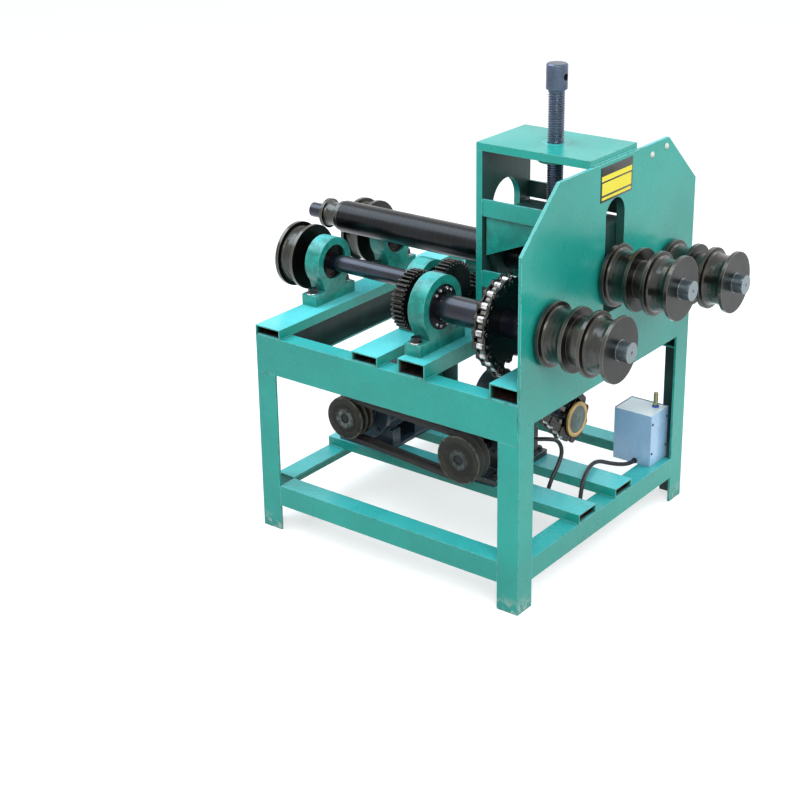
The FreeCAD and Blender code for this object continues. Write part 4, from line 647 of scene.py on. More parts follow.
# Every finish: what makes it, its colour as a shade or a setting's name, what sets it apart,
# and the nodes that carry it. Those without nodes are for the small parts that are made here.
FINISH_TABLE = {
    "stand enamel": (enamel, "enamel", {"joints": (DECK_Z, LEG_TOP)},
                     ("front_rail", "low_rails", "screw_nut", "idler_mount")),
    "leg enamel": (enamel, "enamel", {
        "joints": (LEG_TOP,),
        "soiled": shaded_within(x=(0.388, 0.3943), y=(PLATE_Y + 0.0064, BACK_Y - 0.0064))},
        ("legs",)),
    "back rail enamel": (enamel, "enamel", {
        "soiled": shaded_within(y=(NO_LIMIT, BACK_Y - 0.0047), z=CHANNEL_Z)}, ("back_rail",)),
    "side rail enamel": (enamel, "enamel", {
        "soiled": shaded_within(x=(NO_LIMIT, 0.3953), z=CHANNEL_Z)}, ("side_rails",)),
    "front tube enamel": (enamel, "enamel", {
        **SKY_SHEEN, "soiled": open_tubes(0, FRONT_TUBES_Y, RAIL_Z, DECK_Z, CROSS_RUN)},
        ("front_cross_tubes",)),
    "rear tube enamel": (enamel, "enamel", {
        **SKY_SHEEN, "soiled": open_tubes(0, REAR_TUBES_Y, RAIL_Z, RAIL_Z + FLAT_TUBE, CROSS_RUN)},
        ("rear_cross_tubes",)),
    "base tube enamel": (enamel, "enamel", {
        **SKY_SHEEN,
        "soiled": open_tubes(1, LOW_TUBES_X, LOW_RAIL_Z, LOW_RAIL_Z + FLAT_TUBE, LOW_RUN)},
        ("base_tubes",)),
    "plate enamel": (enamel, "enamel", {
        "edge": 0.75, "joints": (DECK_Z,), "soiled": shaded_slot(*SLOT)}, ("front_plate",)),
    "tower top enamel": (enamel, "enamel", {
        "dusty": (0.0, 0.2), "soiled": shaded_within(z=(0.0, 1.0293))}, ("tower_top_plate",)),
    "tower back enamel": (enamel, "enamel", {
        "soiled": shaded_within(y=(NO_LIMIT, PLATE_Y + 0.3105))}, ("tower_back_plate",)),
    "tower bar enamel": (enamel, "enamel", {
        "soiled": shaded_within(x=(NO_LIMIT, 0.1003))}, ("tower_side_bars",)),
    "carriage enamel": (enamel, "enamel", {
        "cast": 0.6, "soiled": shaded_within(x=(NO_LIMIT, 0.0957))}, ("carriage_frame",)),
    "housing enamel": (enamel, "enamel", {"wear": 0.8, "cast": 0.85},
                       ("main_housings", "rear_housings", "flange_bearings")),
    "gearbox enamel": (enamel, "gearbox_paint", {
        "wear": 0.7, "pale": shade(84, 104, 116), "dusty": (0.2, 0.6)},
        ("gearbox_case", "gearbox_covers")),
    "motor enamel": (enamel, "motor_paint", {
        "wear": 0.6, "pale": shade(92, 116, 148), "dusty": (0.2, 0.6)},
        ("motor_body", "motor_fan_cover", "motor_terminal_box")),
    "box enamel": (enamel, "box_paint", {
        "wear": 0.25, "pale": shade(238, 250, 255), "dusty": (0.9, 1.0), "coat": 0.6},
        ("control_box", "control_box_cover")),

    "side roll steel": (turned_steel, "roll_steel", {**ROLL, "axis": MAIN_AXIS},
                        ("left_rolls", "right_rolls")),
    "centre roll steel": (turned_steel, "roll_steel", {
        **ROLL, "axis": CENTRE_AXIS, "mirrored": False}, ("centre_rolls", "centre_rear_roll")),
    "rear wheel steel": (turned_steel, "roll_steel", {**WHEEL, "axis": REAR_AXIS},
                         ("left_rear_wheel", "right_rear_wheel")),
    "main shaft steel": (turned_steel, "shaft_steel", {
        **SHAFT, "axis": MAIN_AXIS, "nose": NOSE_Y}, ("left_main_shaft", "right_main_shaft")),
    "rear shaft steel": (turned_steel, "shaft_steel", {**SHAFT, "axis": REAR_AXIS},
                         ("left_rear_shaft", "right_rear_shaft")),
    "centre shaft steel": (turned_steel, "shaft_steel", {
        **SHAFT, "axis": CENTRE_AXIS, "mirrored": False, "nose": NOSE_Y}, ("centre_shaft",)),
    "output shaft steel": (turned_steel, "shaft_steel", {
        "axis": OUTPUT_AXIS, "mirrored": False}, ("output_shaft",)),
    "tube steel": (turned_steel, shade(18, 20, 24), {
        "axis": CENTRE_AXIS, "mirrored": False, "rough": (0.26, 0.4), "lines": 160.0,
        "coat": 0.22}, ("centre_tube",)),

    "main gear steel": (toothed_steel, GEAR_BLACK, {"axis": MAIN_AXIS, "tooth": 0.0765},
                        ("left_main_gear", "right_main_gear")),
    "rear gear steel": (toothed_steel, GEAR_BLACK, {"axis": REAR_AXIS, "tooth": 0.0765},
                        ("left_rear_gear", "right_rear_gear")),
    "idler gear steel": (toothed_steel, GEAR_BLACK, {
        "axis": IDLER_AXIS, "mirrored": False, "tooth": 0.0925}, ("idler_gear",)),
    "driven sprocket steel": (toothed_steel, "chain_steel", {
        "axis": MAIN_AXIS, "tooth": 0.098}, ("driven_sprocket",)),
    "drive sprocket steel": (toothed_steel, "chain_steel", {
        "axis": OUTPUT_AXIS, "mirrored": False, "tooth": 0.049, "hub": 0.0348,
        "hub_colour": shade(74, 86, 82)}, ("drive_sprocket",)),
    "chain links": (chain_finish, "chain_steel", {}, ("roller_chain",)),

    "bearing steel": (plain_steel, shade(38, 35, 33), {"rough": (0.2, 0.36), "metal": 0.9},
                      ("shaft_bearings", "tube_bushes")),
    "cover steel": (plain_steel, shade(38, 38, 42), {"rough": (0.26, 0.42), "metal": 0.8},
                    ("bearing_covers",)),
    "bolt steel": (plain_steel, shade(52, 52, 54), {"rough": (0.25, 0.42)},
                   ("housing_bolts", "worm_shaft", "motor_shaft")),
    "screw steel": (plain_steel, shade(80, 91, 108), {"rough": (0.22, 0.4), "brown": 0.2},
                    ("lead_screw",)),
    "lever steel": (plain_steel, shade(150, 150, 110), {
        "rough": (0.2, 0.34), "metal": 0.9, "brown": 0.2}, ("switch_lever",)),
    "ring ochre": (plain_steel, shade(196, 158, 100), {
        "rough": (0.4, 0.6), "metal": 0.5, "brown": 0.35}, ()),
    "cap steel": (plain_steel, shade(84, 98, 94), {
        "rough": (0.3, 0.5), "metal": 0.7, "brown": 0.3}, ()),
    "zinc plate": (plain_steel, shade(196, 196, 190), {
        "rough": (0.2, 0.36), "metal": 0.95, "brown": 0.15}, ()),
    "bright steel": (plain_steel, shade(200, 200, 200), {
        "rough": (0.16, 0.28), "metal": 0.95, "brown": 0.1}, ()),

    "gearbox pulley iron": (pulley_finish, "pulley_iron", {
        "place": (GEARBOX_Y, WORM_Z), "hub": 0.026, "web": 0.048, "rim": 0.065, "bright": 0.3},
        ("gearbox_pulley",)),
    "motor pulley iron": (pulley_finish, "pulley_iron", {
        "place": (MOTOR_Y, MOTOR_Z), "hub": 0.027, "web": 0.042, "rim": 0.058, "bright": 0.9},
        ("motor_pulley",)),

    "pale screw": (gloss_paint, shade(216, 210, 196), {"rough": 0.3}, ()),
    "sign black": (gloss_paint, shade(22, 22, 20), {"rough": 0.28}, ()),
    "sign yellow": (gloss_paint, shade(240, 222, 28), {"rough": 0.34}, ()),
    "seam blue": (gloss_paint, shade(52, 78, 128), {"rough": 0.35}, ()),
    "belt rubber": (rubber, shade(40, 38, 36), {"rough": (0.55, 0.75)}, ("drive_belts",)),
    "cable rubber": (rubber, shade(38, 38, 44), {"rough": (0.35, 0.55)}, ("motor_cable",)),
    "collar plastic": (rubber, shade(52, 92, 190), {"rough": (0.3, 0.4)}, ("switch_collar",)),
    "gland plastic": (rubber, shade(36, 36, 38), {"rough": (0.35, 0.5)}, ("cable_glands",)),
}
FINISHES = {}


def prepare_finishes(colours):
    """Makes every finish once, from its row in the table and the colours of the settings."""
    for name, (maker, colour, looks, _) in FINISH_TABLE.items():
        if isinstance(colour, str):
            colour = tuple(getattr(colours, colour))
        if maker is enamel:
            looks = {**looks, "rust": tuple(colours.rust)}
        FINISHES[name] = maker(name, colour, **looks)


# ---------------------------------------------------------------- shapes

def mesh_of(name, build):
    """A mesh from a function that fills a bmesh, with its faces turned outwards."""
    bm = bmesh.new()
    build(bm)
    bmesh.ops.recalc_face_normals(bm, faces=bm.faces)
    mesh = bpy.data.meshes.new(name)
    bm.to_mesh(mesh)
    bm.free()
    return mesh


def add_piece(name, build, finish, body, smooth=0.6):
    """Makes a mesh piece that rides on a body. Edges flatter than smooth are kept round."""
    mesh = mesh_of(name, build)
    mesh.polygons.foreach_set("use_smooth", [True] * len(mesh.polygons))
    mesh.set_sharp_from_angle(angle=smooth)
    mesh.materials.append(FINISHES[finish])
    piece = bpy.data.objects.new(name, mesh)
    bpy.context.scene.collection.objects.link(piece)
    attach(piece, body)
    return piece


def facing(at, direction):
    """A place whose Z axis points along a direction."""
    turn = Vector(direction).to_track_quat("Z", "Y").to_matrix().to_4x4()
    return Matrix.Translation(Vector(at)) @ turn


def around(centre, direction, radius, angles):
    """Places on a circle, each facing along the circle's axis."""
    place = facing(centre, direction)
    return [place @ Matrix.Translation((radius * math.cos(math.radians(angle)),
                                        radius * math.sin(math.radians(angle)), 0.0))
            for angle in angles]


def evenly(start, count):
    """Angles in degrees, evenly round a circle."""
    return [start + 360 // count * number for number in range(count)]


def lathe(bm, profile, place=Matrix(), steps=48):
    """Turns a closed profile of (radius, height) points about Z, then moves it into place."""
    def point(turn, radius, height):
        return bm.verts.new(place @ (turn * radius + Vector((0, 0, height))))

    rings = []
    for step in range(steps):
        angle = math.tau * step / steps
        turn = Vector((math.cos(angle), math.sin(angle), 0.0))
        rings.append([point(turn, radius, height) if radius else None
                      for radius, height in profile])
    poles = [None if radius else point(Vector(), radius, height) for radius, height in profile]
    for here, there in zip(rings, rings[1:] + rings[:1]):
        for index in range(len(profile)):
            after = (index + 1) % len(profile)
            corners = [ring[part] or poles[part] for ring, part in (
                (here, index), (here, after), (there, after), (there, index))]
            corners = list(dict.fromkeys(corners))
            if len(corners) > 2:
                bm.faces.new(corners)


def skin(bm, rings):
    """Joins rings of points into a closed shape with flat ends."""
    for here, there in zip(rings, rings[1:]):
        for index in range(len(here)):
            after = (index + 1) % len(here)
            bm.faces.new((here[index], here[after], there[after], there[index]))
    bm.faces.new(rings[0])
    bm.faces.new(rings[-1])


def slab(bm, low, high, bevel=0.0):
    """A block between two corners, its edges broken by a small bevel."""
    verts = bmesh.ops.create_cube(bm, size=1.0)["verts"]
    middle, span = (Vector(low) + Vector(high)) / 2, Vector(high) - Vector(low)
    for vert in verts:
        vert.co = Vector([a * b for a, b in zip(vert.co, span)]) + middle
    if bevel:
        edges = {edge for vert in verts for edge in vert.link_edges}
        bmesh.ops.bevel(bm, geom=list(edges), offset=bevel, segments=2, profile=0.5,
                        affect="EDGES")


def dome_screw(bm, place, radius, height):
    """A round-headed screw with its head's soft dome."""
    lathe(bm, ((0.0, height), (radius * 0.42, height * 0.94), (radius * 0.76, height * 0.7),
               (radius * 0.95, height * 0.34), (radius, 0.0), (0.0, 0.0)), place, 20)


def socket_screw(bm, place, radius, height):
    """A cap screw with a round head, a broken edge and a key socket."""
    lathe(bm, ((0.0, height * 0.45), (radius * 0.5, height * 0.45), (radius * 0.5, height),
               (radius * 0.86, height), (radius, height * 0.84), (radius, 0.0), (0.0, 0.0)),
          place, 18)


def hex_bolt(bm, place, radius, height, washer=True):
    """A hexagon bolt head on its washer."""
    base = 0.0
    if washer:
        base = radius * 0.2
        lathe(bm, ((0.0, base), (radius * 1.2, base), (radius * 1.25, base * 0.7),
                   (radius * 1.25, 0.0), (0.0, 0.0)), place, 20)
    lathe(bm, ((0.0, base + height), (radius * 0.84, base + height),
               (radius, base + height * 0.84), (radius, base), (0.0, base)), place, 6)


def bead(bm, start, end, radius):
    """A weld bead: a ridge of overlapping ripples between two points."""
    start, end = Vector(start), Vector(end)
    length = (end - start).length
    place = facing(start, end - start)
    count, sides = max(4, int(length / (radius * 0.8))), 7
    rings = []
    for step in range(count + 1):
        swell = radius * (0.88 + 0.13 * math.cos(step * math.pi) + 0.07 * math.sin(step * 1.7))
        if step in (0, count):
            swell *= 0.55
        sway = radius * 0.12 * math.sin(step * 0.9)
        rings.append([bm.verts.new(place @ Vector((
            swell * math.cos(math.tau * side / sides) + sway,
            swell * math.sin(math.tau * side / sides), length * step / count)))
            for side in range(sides)])
    skin(bm, rings)


# ---------------------------------------------------------------- pieces

class RINGROLLER_OT_finishes(bpy.types.Operator):
    """Give every solid of the machine its finish"""
    bl_idname = "ringroller.finishes"
    bl_label = "Finishes"

    def execute(self, context):
        prepare_finishes(context.scene.ringroller_finish)
        named = {node for *_, nodes in FINISH_TABLE.values() for node in nodes}
        missing = sorted(set(SOLIDS) - named)
        if missing:
            raise RuntimeError("no finish for " + ", ".join(missing))
        for finish, (*_, nodes) in FINISH_TABLE.items():
            for node in nodes:
                solid = SOLIDS[node]
                if not solid.material_slots:
                    solid.data.materials.append(None)
                for slot in solid.material_slots:
                    slot.material = FINISHES[finish]
        return {"FINISHED"}


class RINGROLLER_OT_cable(bpy.types.Operator):
    """Lay the free cable from the control box to the motor"""
    bl_idname = "ringroller.cable"
    bl_label = "Cable"

    def execute(self, context):
        sizes = context.scene.ringroller_cable
        curve = bpy.data.curves.new("motor_lead", "CURVE")
        curve.dimensions = "3D"
        curve.bevel_depth = sizes.diameter / 2
        curve.bevel_resolution = 5
        curve.use_fill_caps = True
        curve.resolution_u = sizes.fineness
        line = curve.splines.new("NURBS")
        line.points.add(len(CABLE_POINTS) - 1)
        for point, (x, behind, z) in zip(line.points, CABLE_POINTS):
            point.co = (x, PLATE_Y + behind, z, 1.0)
        line.order_u = 3
        line.use_endpoint_u = True
        curve.materials.append(FINISHES["cable rubber"])
        cable = bpy.data.objects.new("motor_lead", curve)
        context.scene.collection.objects.link(cable)
        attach(cable, "base")
        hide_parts("motor_cable")
        return {"FINISHED"}


def chain_pins():
    """The pins' places: down the upper run, around the small sprocket, back and around."""
    start = Vector((-MAIN_AXIS[0], CHAIN_Y, MAIN_AXIS[1]))
    end = Vector((OUTPUT_AXIS[0], CHAIN_Y, OUTPUT_AXIS[1]))
    large = CHAIN_PITCH / 2 / math.sin(math.pi / LARGE_TEETH)
    small = CHAIN_PITCH / 2 / math.sin(math.pi / SMALL_TEETH)
    reach = (end - start).length
    lean = math.asin((large - small) / reach)
    line = math.atan2(end.z - start.z, end.x - start.x)
    upper, lower = line + math.pi / 2 - lean, line - math.pi / 2 + lean
    straight = reach * math.cos(lean) / CHAIN_PITCH
    wrap = (math.pi - 2 * lean) / (math.tau / SMALL_TEETH)

    def on_circle(centre, radius, angle):
        return centre + Vector((radius * math.cos(angle), 0.0, radius * math.sin(angle)))

    upper_run = on_circle(start, large, upper), on_circle(end, small, upper)
    lower_run = on_circle(end, small, lower), on_circle(start, large, lower)
    places = []
    for along in range(CHAIN_LINKS):
        if along < straight:
            place = upper_run[0].lerp(upper_run[1], along / straight)
        elif along < straight + wrap:
            turned = (along - straight) * math.tau / SMALL_TEETH
            place = on_circle(end, small, upper - turned)
        elif along < 2 * straight + wrap:
            place = lower_run[0].lerp(lower_run[1], (along - straight - wrap) / straight)
        else:
            turned = (along - 2 * straight - wrap) * math.tau / LARGE_TEETH
            place = on_circle(start, large, lower - turned)
        places.append(place)
    return places


class RINGROLLER_OT_chain(bpy.types.Operator):
    """Rivet the roller chain together around its two sprockets"""
    bl_idname = "ringroller.chain"
    bl_label = "Roller Chain"

    def execute(self, context):
        self.sizes = context.scene.ringroller_chain
        chain = add_piece("drive_chain", self.links, "chain links", "base", 0.7)
        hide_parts("roller_chain")
        return {"FINISHED"}

    def plate(self, bm, first, second, low, high):
        """A waisted plate over two pins, with broken edges."""
        along = (second - first).normalized()
        across = Vector((-along.z, 0.0, along.x))
        edge, steps = 0.0006, 8

        def outline(trim, y):
            half, waist = self.sizes.plate_half - trim, self.sizes.waist_half - trim
            ring = []
            for here, there, side in ((second, first, 1), (first, second, -1)):
                for step in range(steps + 1):
                    angle = math.pi * (step / steps - 0.5)
                    ring.append(here + (along * math.cos(angle) + across * math.sin(angle))
                                * side * half)
                for share in (0.25, 0.5, 0.75):
                    height = half - (half - waist) * math.sin(math.pi * share) ** 0.7
                    ring.append(here.lerp(there, share) + across * side * height)
            return [bm.verts.new((point.x, y, point.z)) for point in ring]

        skin(bm, [outline(edge, low), outline(0.0, low + edge), outline(0.0, high - edge),
                  outline(edge, high)])

    def links(self, bm):
        """Rollers on riveted pins, with inner and outer plates in turn."""
        roller, pin = self.sizes.roller, self.sizes.pin
        inner, wall, edge = 0.0095, 0.004, 0.0008
        half = inner - 0.0002
        tip = inner + 2 * wall + 0.0014
        pins = chain_pins()
        for number, (centre, after) in enumerate(zip(pins, pins[1:] + pins[:1])):
            gap = inner + (wall if number % 2 else 0.0)
            for low in (CHAIN_Y + gap, CHAIN_Y - gap - wall):
                self.plate(bm, centre, after, low, low + wall)
            place = facing(centre, BACK)
            lathe(bm, ((0.0, -half), (roller - edge, -half), (roller, edge - half),
                       (roller, half - edge), (roller - edge, half), (0.0, half)), place, 24)
            lathe(bm, ((0.0, -tip), (pin * 0.7, -tip), (pin, edge - tip), (pin, tip - edge),
                       (pin * 0.7, tip), (0.0, tip)), place, 12)


class RINGROLLER_OT_sprocket_ring(bpy.types.Operator):
    """Fix the ring and its dished cap in front of the small sprocket"""
    bl_idname = "ringroller.sprocket_ring"
    bl_label = "Sprocket Ring"

    def execute(self, context):
        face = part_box("drive_sprocket")[0].y
        place = facing((OUTPUT_AXIS[0], face, OUTPUT_AXIS[1]), FRONT)
        ring = ((0.0346, -0.0040), (0.0360, 0.0014), (0.0375, 0.0026), (0.0445, 0.0026),
                (0.0460, 0.0012), (0.0460, -0.0040))
        cap = ((0.0, 0.0016), (0.0060, 0.0016), (0.0075, 0.0008), (0.0300, 0.0008),
               (0.0325, 0.0014), (0.0362, 0.0014), (0.0362, 0.0), (0.0, 0.0))
        add_piece("sprocket_ring", lambda bm: lathe(bm, ring, place, 64), "ring ochre",
                  "gearbox_output")
        add_piece("sprocket_cap", lambda bm: lathe(bm, cap, place, 64), "cap steel",
                  "gearbox_output")
        return {"FINISHED"}


class RINGROLLER_OT_press_screw(bpy.types.Operator):
    """Cut the press screw: its thread, its drilled head, its neck and collar"""
    bl_idname = "ringroller.press_screw"
    bl_label = "Press Screw"

    shoulder = 0.8623
    head = 1.177
    axis = Matrix.Translation((0.0, SCREW_Y, 0.0))

    def execute(self, context):
        self.sizes = context.scene.ringroller_screw
        self.bottom, self.top = (corner.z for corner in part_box("lead_screw"))
        rod = add_piece("press_screw", self.rod, "screw steel", "screw", 0.5)
        head = add_piece("press_screw_head", self.blank, "screw steel", "screw",
                         0.5)
        self.drill(context, head)
        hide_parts("lead_screw")
        return {"FINISHED"}

    def rod(self, bm):
        """The helix of the thread between plain ends, and the neck and collar below."""
        crest, core = 0.020, 0.020 - self.sizes.depth
        pitch, steps = self.sizes.pitch, 36
        first, last = self.shoulder + 0.004, self.head - 0.004
        section = ((0.0, core), (0.30, crest), (0.52, crest), (0.82, core))
        count = int((last - first) / pitch * steps) + steps
        columns = []
        for step in range(-steps, count):
            angle = math.tau * step / steps
            turn = Vector((math.cos(angle), math.sin(angle), 0.0))
            column = []
            for share, radius in section:
                z = min(max(first + pitch * (step / steps + share), first), last)
                column.append(bm.verts.new(turn * radius + Vector((0.0, SCREW_Y, z))))
            columns.append(column)
        for index, (here, there) in enumerate(zip(columns, columns[1:])):
            for part in range(len(section) - 1):
                bm.faces.new((here[part], there[part], there[part + 1], here[part + 1]))
            if index + 1 + steps < len(columns):
                above, beyond = columns[index + steps][0], columns[index + steps + 1][0]
                bm.faces.new((here[-1], there[-1], beyond, above))
        for bottom, top in ((self.shoulder, first + 0.0004), (last - 0.0004, self.head)):
            lathe(bm, ((0.0, top), (0.0186, top), (0.0194, top - 0.0008), (0.0194, bottom),
                       (0.0, bottom)), self.axis, 40)
        low = self.bottom
        lathe(bm, ((0.0, self.shoulder), (0.016, self.shoulder), (0.016, low + 0.0117),
                   (0.0252, low + 0.0117), (0.026, low + 0.0109), (0.026, low + 0.0008),
                   (0.0252, low), (0.0, low)), self.axis, 40)

    def blank(self, bm):
        """The head as it is turned, before it is drilled."""
        lathe(bm, ((0.0, self.top), (0.0232, self.top), (0.026, self.top - 0.0028),
                   (0.026, self.head + 0.0024), (0.0236, self.head), (0.0, self.head)),
              self.axis, 72)

    def drill(self, context, head):
        """Drills the head across for the bar."""
        start = facing((0.0, SCREW_Y - 0.04, self.top - 0.031), BACK)
        profile = ((0.0, 0.08), (0.009, 0.08), (0.009, 0.0), (0.0, 0.0))
        bit = mesh_of("drill", lambda bm: lathe(bm, profile, start, 32))
        tool = bpy.data.objects.new("drill", bit)
        context.scene.collection.objects.link(tool)
        cutter = head.modifiers.new("drill", "BOOLEAN")
        cutter.operation = "DIFFERENCE"
        cutter.object = tool
        context.view_layer.update()
        ready = head.evaluated_get(context.evaluated_depsgraph_get())
        drilled = bpy.data.meshes.new_from_object(ready)
        head.modifiers.remove(cutter)
        plain, head.data = head.data, drilled
        drilled.set_sharp_from_angle(angle=0.5)
        bpy.data.objects.remove(tool)
        for spare in (plain, bit):
            bpy.data.meshes.remove(spare)


class RINGROLLER_OT_fasteners(bpy.types.Operator):
    """Add the screws of the covers, flanges and the front plate"""
    bl_idname = "ringroller.fasteners"
    bl_label = "Screws and Bolts"

    def execute(self, context):
        for name, build, finish, slot in (
                ("cover_screws", self.cover_screws, "bright steel", "zinc_steel"),
                ("plate_screws", self.plate_screws, "pale screw", "zinc_steel"),
                ("block_washers", self.block_washers, "zinc plate", "zinc_steel"),
                ("flange_bolts", self.flange_bolts, "bolt steel", None),
                ("gearbox_bolts", self.gearbox_bolts, "bolt steel", None),
                ("motor_bolts", self.motor_bolts, "bolt steel", None)):
            add_piece(name, build, finish, "base")
        return {"FINISHED"}

    def cover_screws(self, bm):
        """Two pairs of cap screws above and two below in each cover of the main blocks."""
        face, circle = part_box("bearing_covers")[0].y, 0.0462
        for side in SIDES:
            for angle in (52, 74, 106, 128, 232, 254, 286, 308):
                lean = math.radians(angle)
                at = (side * MAIN_AXIS[0] + circle * math.cos(lean), face,
                      MAIN_AXIS[1] + circle * math.sin(lean))
                socket_screw(bm, facing(at, FRONT), 0.0046, 0.0036)

    def plate_screws(self, bm):
        """The two pale screws at the front plate's upper right."""
        for x, z in ((0.166, 1.007), (0.237, 1.013)):
            dome_screw(bm, facing((x, PLATE_Y, z), FRONT), 0.0078, 0.0055)

    def block_washers(self, bm):
        """Bright spring washers under the heads of the bearing blocks' bolts."""
        radius, wall, edge, foot = 0.0162, 0.0032, 0.0006, 0.030
        profile = ((0.0, 0.0), (radius - edge, 0.0), (radius, edge), (radius, wall - edge),
                   (radius - edge, wall), (0.0, wall))
        for across, deep, floor, bolts in (
                (MAIN_AXIS[0], PLATE_Y + 0.327, DECK_Z, 0.076),
                (REAR_AXIS[0], PLATE_Y + 0.462, RAIL_Z + FLAT_TUBE, 0.065),
                (REAR_AXIS[0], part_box("rear_housings")[1].y - 0.023, RAIL_Z + FLAT_TUBE, 0.065)):
            for side in SIDES:
                for end in SIDES:
                    at = (side * across + end * bolts, deep, floor + foot)
                    lathe(bm, profile, facing(at, UP), 28)

    def flange_bolts(self, bm):
        """Bolts of the flanged bearings behind the front plate."""
        for side in SIDES:
            centre = (side * MAIN_AXIS[0], PLATE_Y + 0.020, MAIN_AXIS[1])
            for place in around(centre, BACK, 0.0585, evenly(45, 4)):
                hex_bolt(bm, place, 0.0052, 0.004, False)

    def gearbox_bolts(self, bm):
        """Bolts of the gearbox: output covers, worm covers, feet, filler and drain plug."""
        x, z = OUTPUT_AXIS
        for way in (FRONT, BACK):
            centre = (x, GEARBOX_Y + way[1] * 0.062, z)
            for place in around(centre, way, 0.0445, evenly(30, 6)):
                hex_bolt(bm, place, 0.0058, 0.005)
        for face, way in ((-0.071, LEFT), (0.103, RIGHT)):
            for place in around((face, GEARBOX_Y, WORM_Z), way, 0.0275, evenly(45, 4)):
                hex_bolt(bm, place, 0.0048, 0.004)
        for foot in (-0.098, 0.110):
            for end in SIDES:
                place = facing((foot, GEARBOX_Y + end * 0.044, 0.170), UP)
                hex_bolt(bm, place, 0.0088, 0.0075)
        hex_bolt(bm, facing((x, GEARBOX_Y, z + 0.075), UP), 0.010, 0.008)
        hex_bolt(bm, facing((0.062, GEARBOX_Y - 0.050, 0.186), FRONT), 0.008, 0.006)

    def motor_bolts(self, bm):
        """Bolts of the motor: end shield and feet, terminal box, fan cover."""
        for place in around((-0.118, MOTOR_Y, MOTOR_Z), LEFT, 0.069, evenly(45, 4)):
            hex_bolt(bm, place, 0.0055, 0.005, False)
        for foot in (-0.108, 0.108):
            for end in SIDES:
                place = facing((foot, MOTOR_Y + end * 0.068, 0.162), UP)
                hex_bolt(bm, place, 0.0075, 0.0065)
        for x in (-0.073, 0.009):
            for end in SIDES:
                place = facing((x, MOTOR_Y + end * 0.033, 0.385), UP)
                dome_screw(bm, place, 0.0034, 0.002)
        for angle in (40, 140, 220, 320):
            way = Vector((0.0, math.cos(math.radians(angle)), math.sin(math.radians(angle))))
            place = facing(Vector((0.083, MOTOR_Y, MOTOR_Z)) + way * 0.0818, way)
            dome_screw(bm, place, 0.0036, 0.0022)


class RINGROLLER_OT_welds(bpy.types.Operator):
    """Run the weld beads along the joints of stand and tower"""
    bl_idname = "ringroller.welds"
    bl_label = "Welds"

    def execute(self, context):
        self.size = context.scene.ringroller_weld.leg
        add_piece("stand_welds", self.stand, "stand enamel", "base", 1.2)
        add_piece("tower_welds", self.tower, "stand enamel", "base", 1.2)
        return {"FINISHED"}

    def across(self, bm, start, end, y, z, share=1.0):
        """A bead along X."""
        bead(bm, (start, y, z), (end, y, z), self.size * share)

    def stand(self, bm):
        """The beads of the cross tubes, the low tubes and the front plate's foot."""
        for middle in (*FRONT_TUBES_Y, *REAR_TUBES_Y):
            for y in (middle - TUBE_HALF, middle + TUBE_HALF):
                if PLATE_Y + 0.01 < y < BACK_Y - 0.002:
                    for side in SIDES:
                        self.across(bm, side * 0.397, side * 0.355, y, RAIL_Z + 0.0006)
        near, far = 0.004, 0.054
        for centre in LOW_TUBES_X:
            for x in (centre - TUBE_HALF, centre + TUBE_HALF):
                for low, high in ((PLATE_Y + near, PLATE_Y + far), (BACK_Y - far, BACK_Y - near)):
                    bead(bm, (x, low, LOW_RAIL_Z + 0.0005), (x, high, LOW_RAIL_Z + 0.0005),
                         self.size)
        stitches, first, step, run = 7, -0.372, 0.114, 0.058
        for number in range(stitches):
            x = first + number * step
            self.across(bm, x, x + run, PLATE_Y + 0.0085, DECK_Z + 0.0006)

    def tower(self, bm):
        """The beads of the side bars and of the top and back plates."""
        bar, wide = 0.106, 0.102
        plate_back = PLATE_Y + 0.008
        inner, outer = (corner.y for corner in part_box("tower_back_plate"))
        for low, high in ((0.868, 0.907), (0.686, 0.725)):
            for side in SIDES:
                for y in (plate_back, inner):
                    bead(bm, (side * bar, y, low), (side * bar, y, high), self.size)
        self.across(bm, -wide, wide, plate_back, 1.0348)
        self.across(bm, -wide, wide, outer, DECK_Z + 0.0006)
        for side in SIDES:
            self.across(bm, side * 0.104, side * 0.040, outer, 1.0288, 0.8)


class RINGROLLER_OT_sign(bpy.types.Operator):
    """Fix the bare two-colour sign to the front plate"""
    bl_idname = "ringroller.sign"
    bl_label = "Sign"

    low = 0.941

    def execute(self, context):
        self.sizes = context.scene.ringroller_sign
        self.left = -self.sizes.width / 2 + 0.001
        self.right = self.left + self.sizes.width
        self.top = self.low + self.sizes.height
        self.face = PLATE_Y - self.sizes.thickness
        add_piece("sign_plate", self.plate, "sign black", "base")
        add_piece("sign_fields", self.fields, "sign yellow", "base")
        return {"FINISHED"}

    def plate(self, bm):
        """The black ground of the sign."""
        slab(bm, (self.left, self.face, self.low), (self.right, PLATE_Y, self.top), 0.0003)

    def fields(self, bm):
        """Plain fields, given as shares of the height from the top edge."""
        height = self.sizes.height
        for start, end, inset in ((0.25, 0.40, 0.004), (0.45, 0.80, 0.006), (0.86, 0.94, 0.006)):
            slab(bm, (self.left + inset, self.face - 0.0002, self.top - end * height),
                 (self.right - inset, self.face + 0.0001, self.top - start * height))


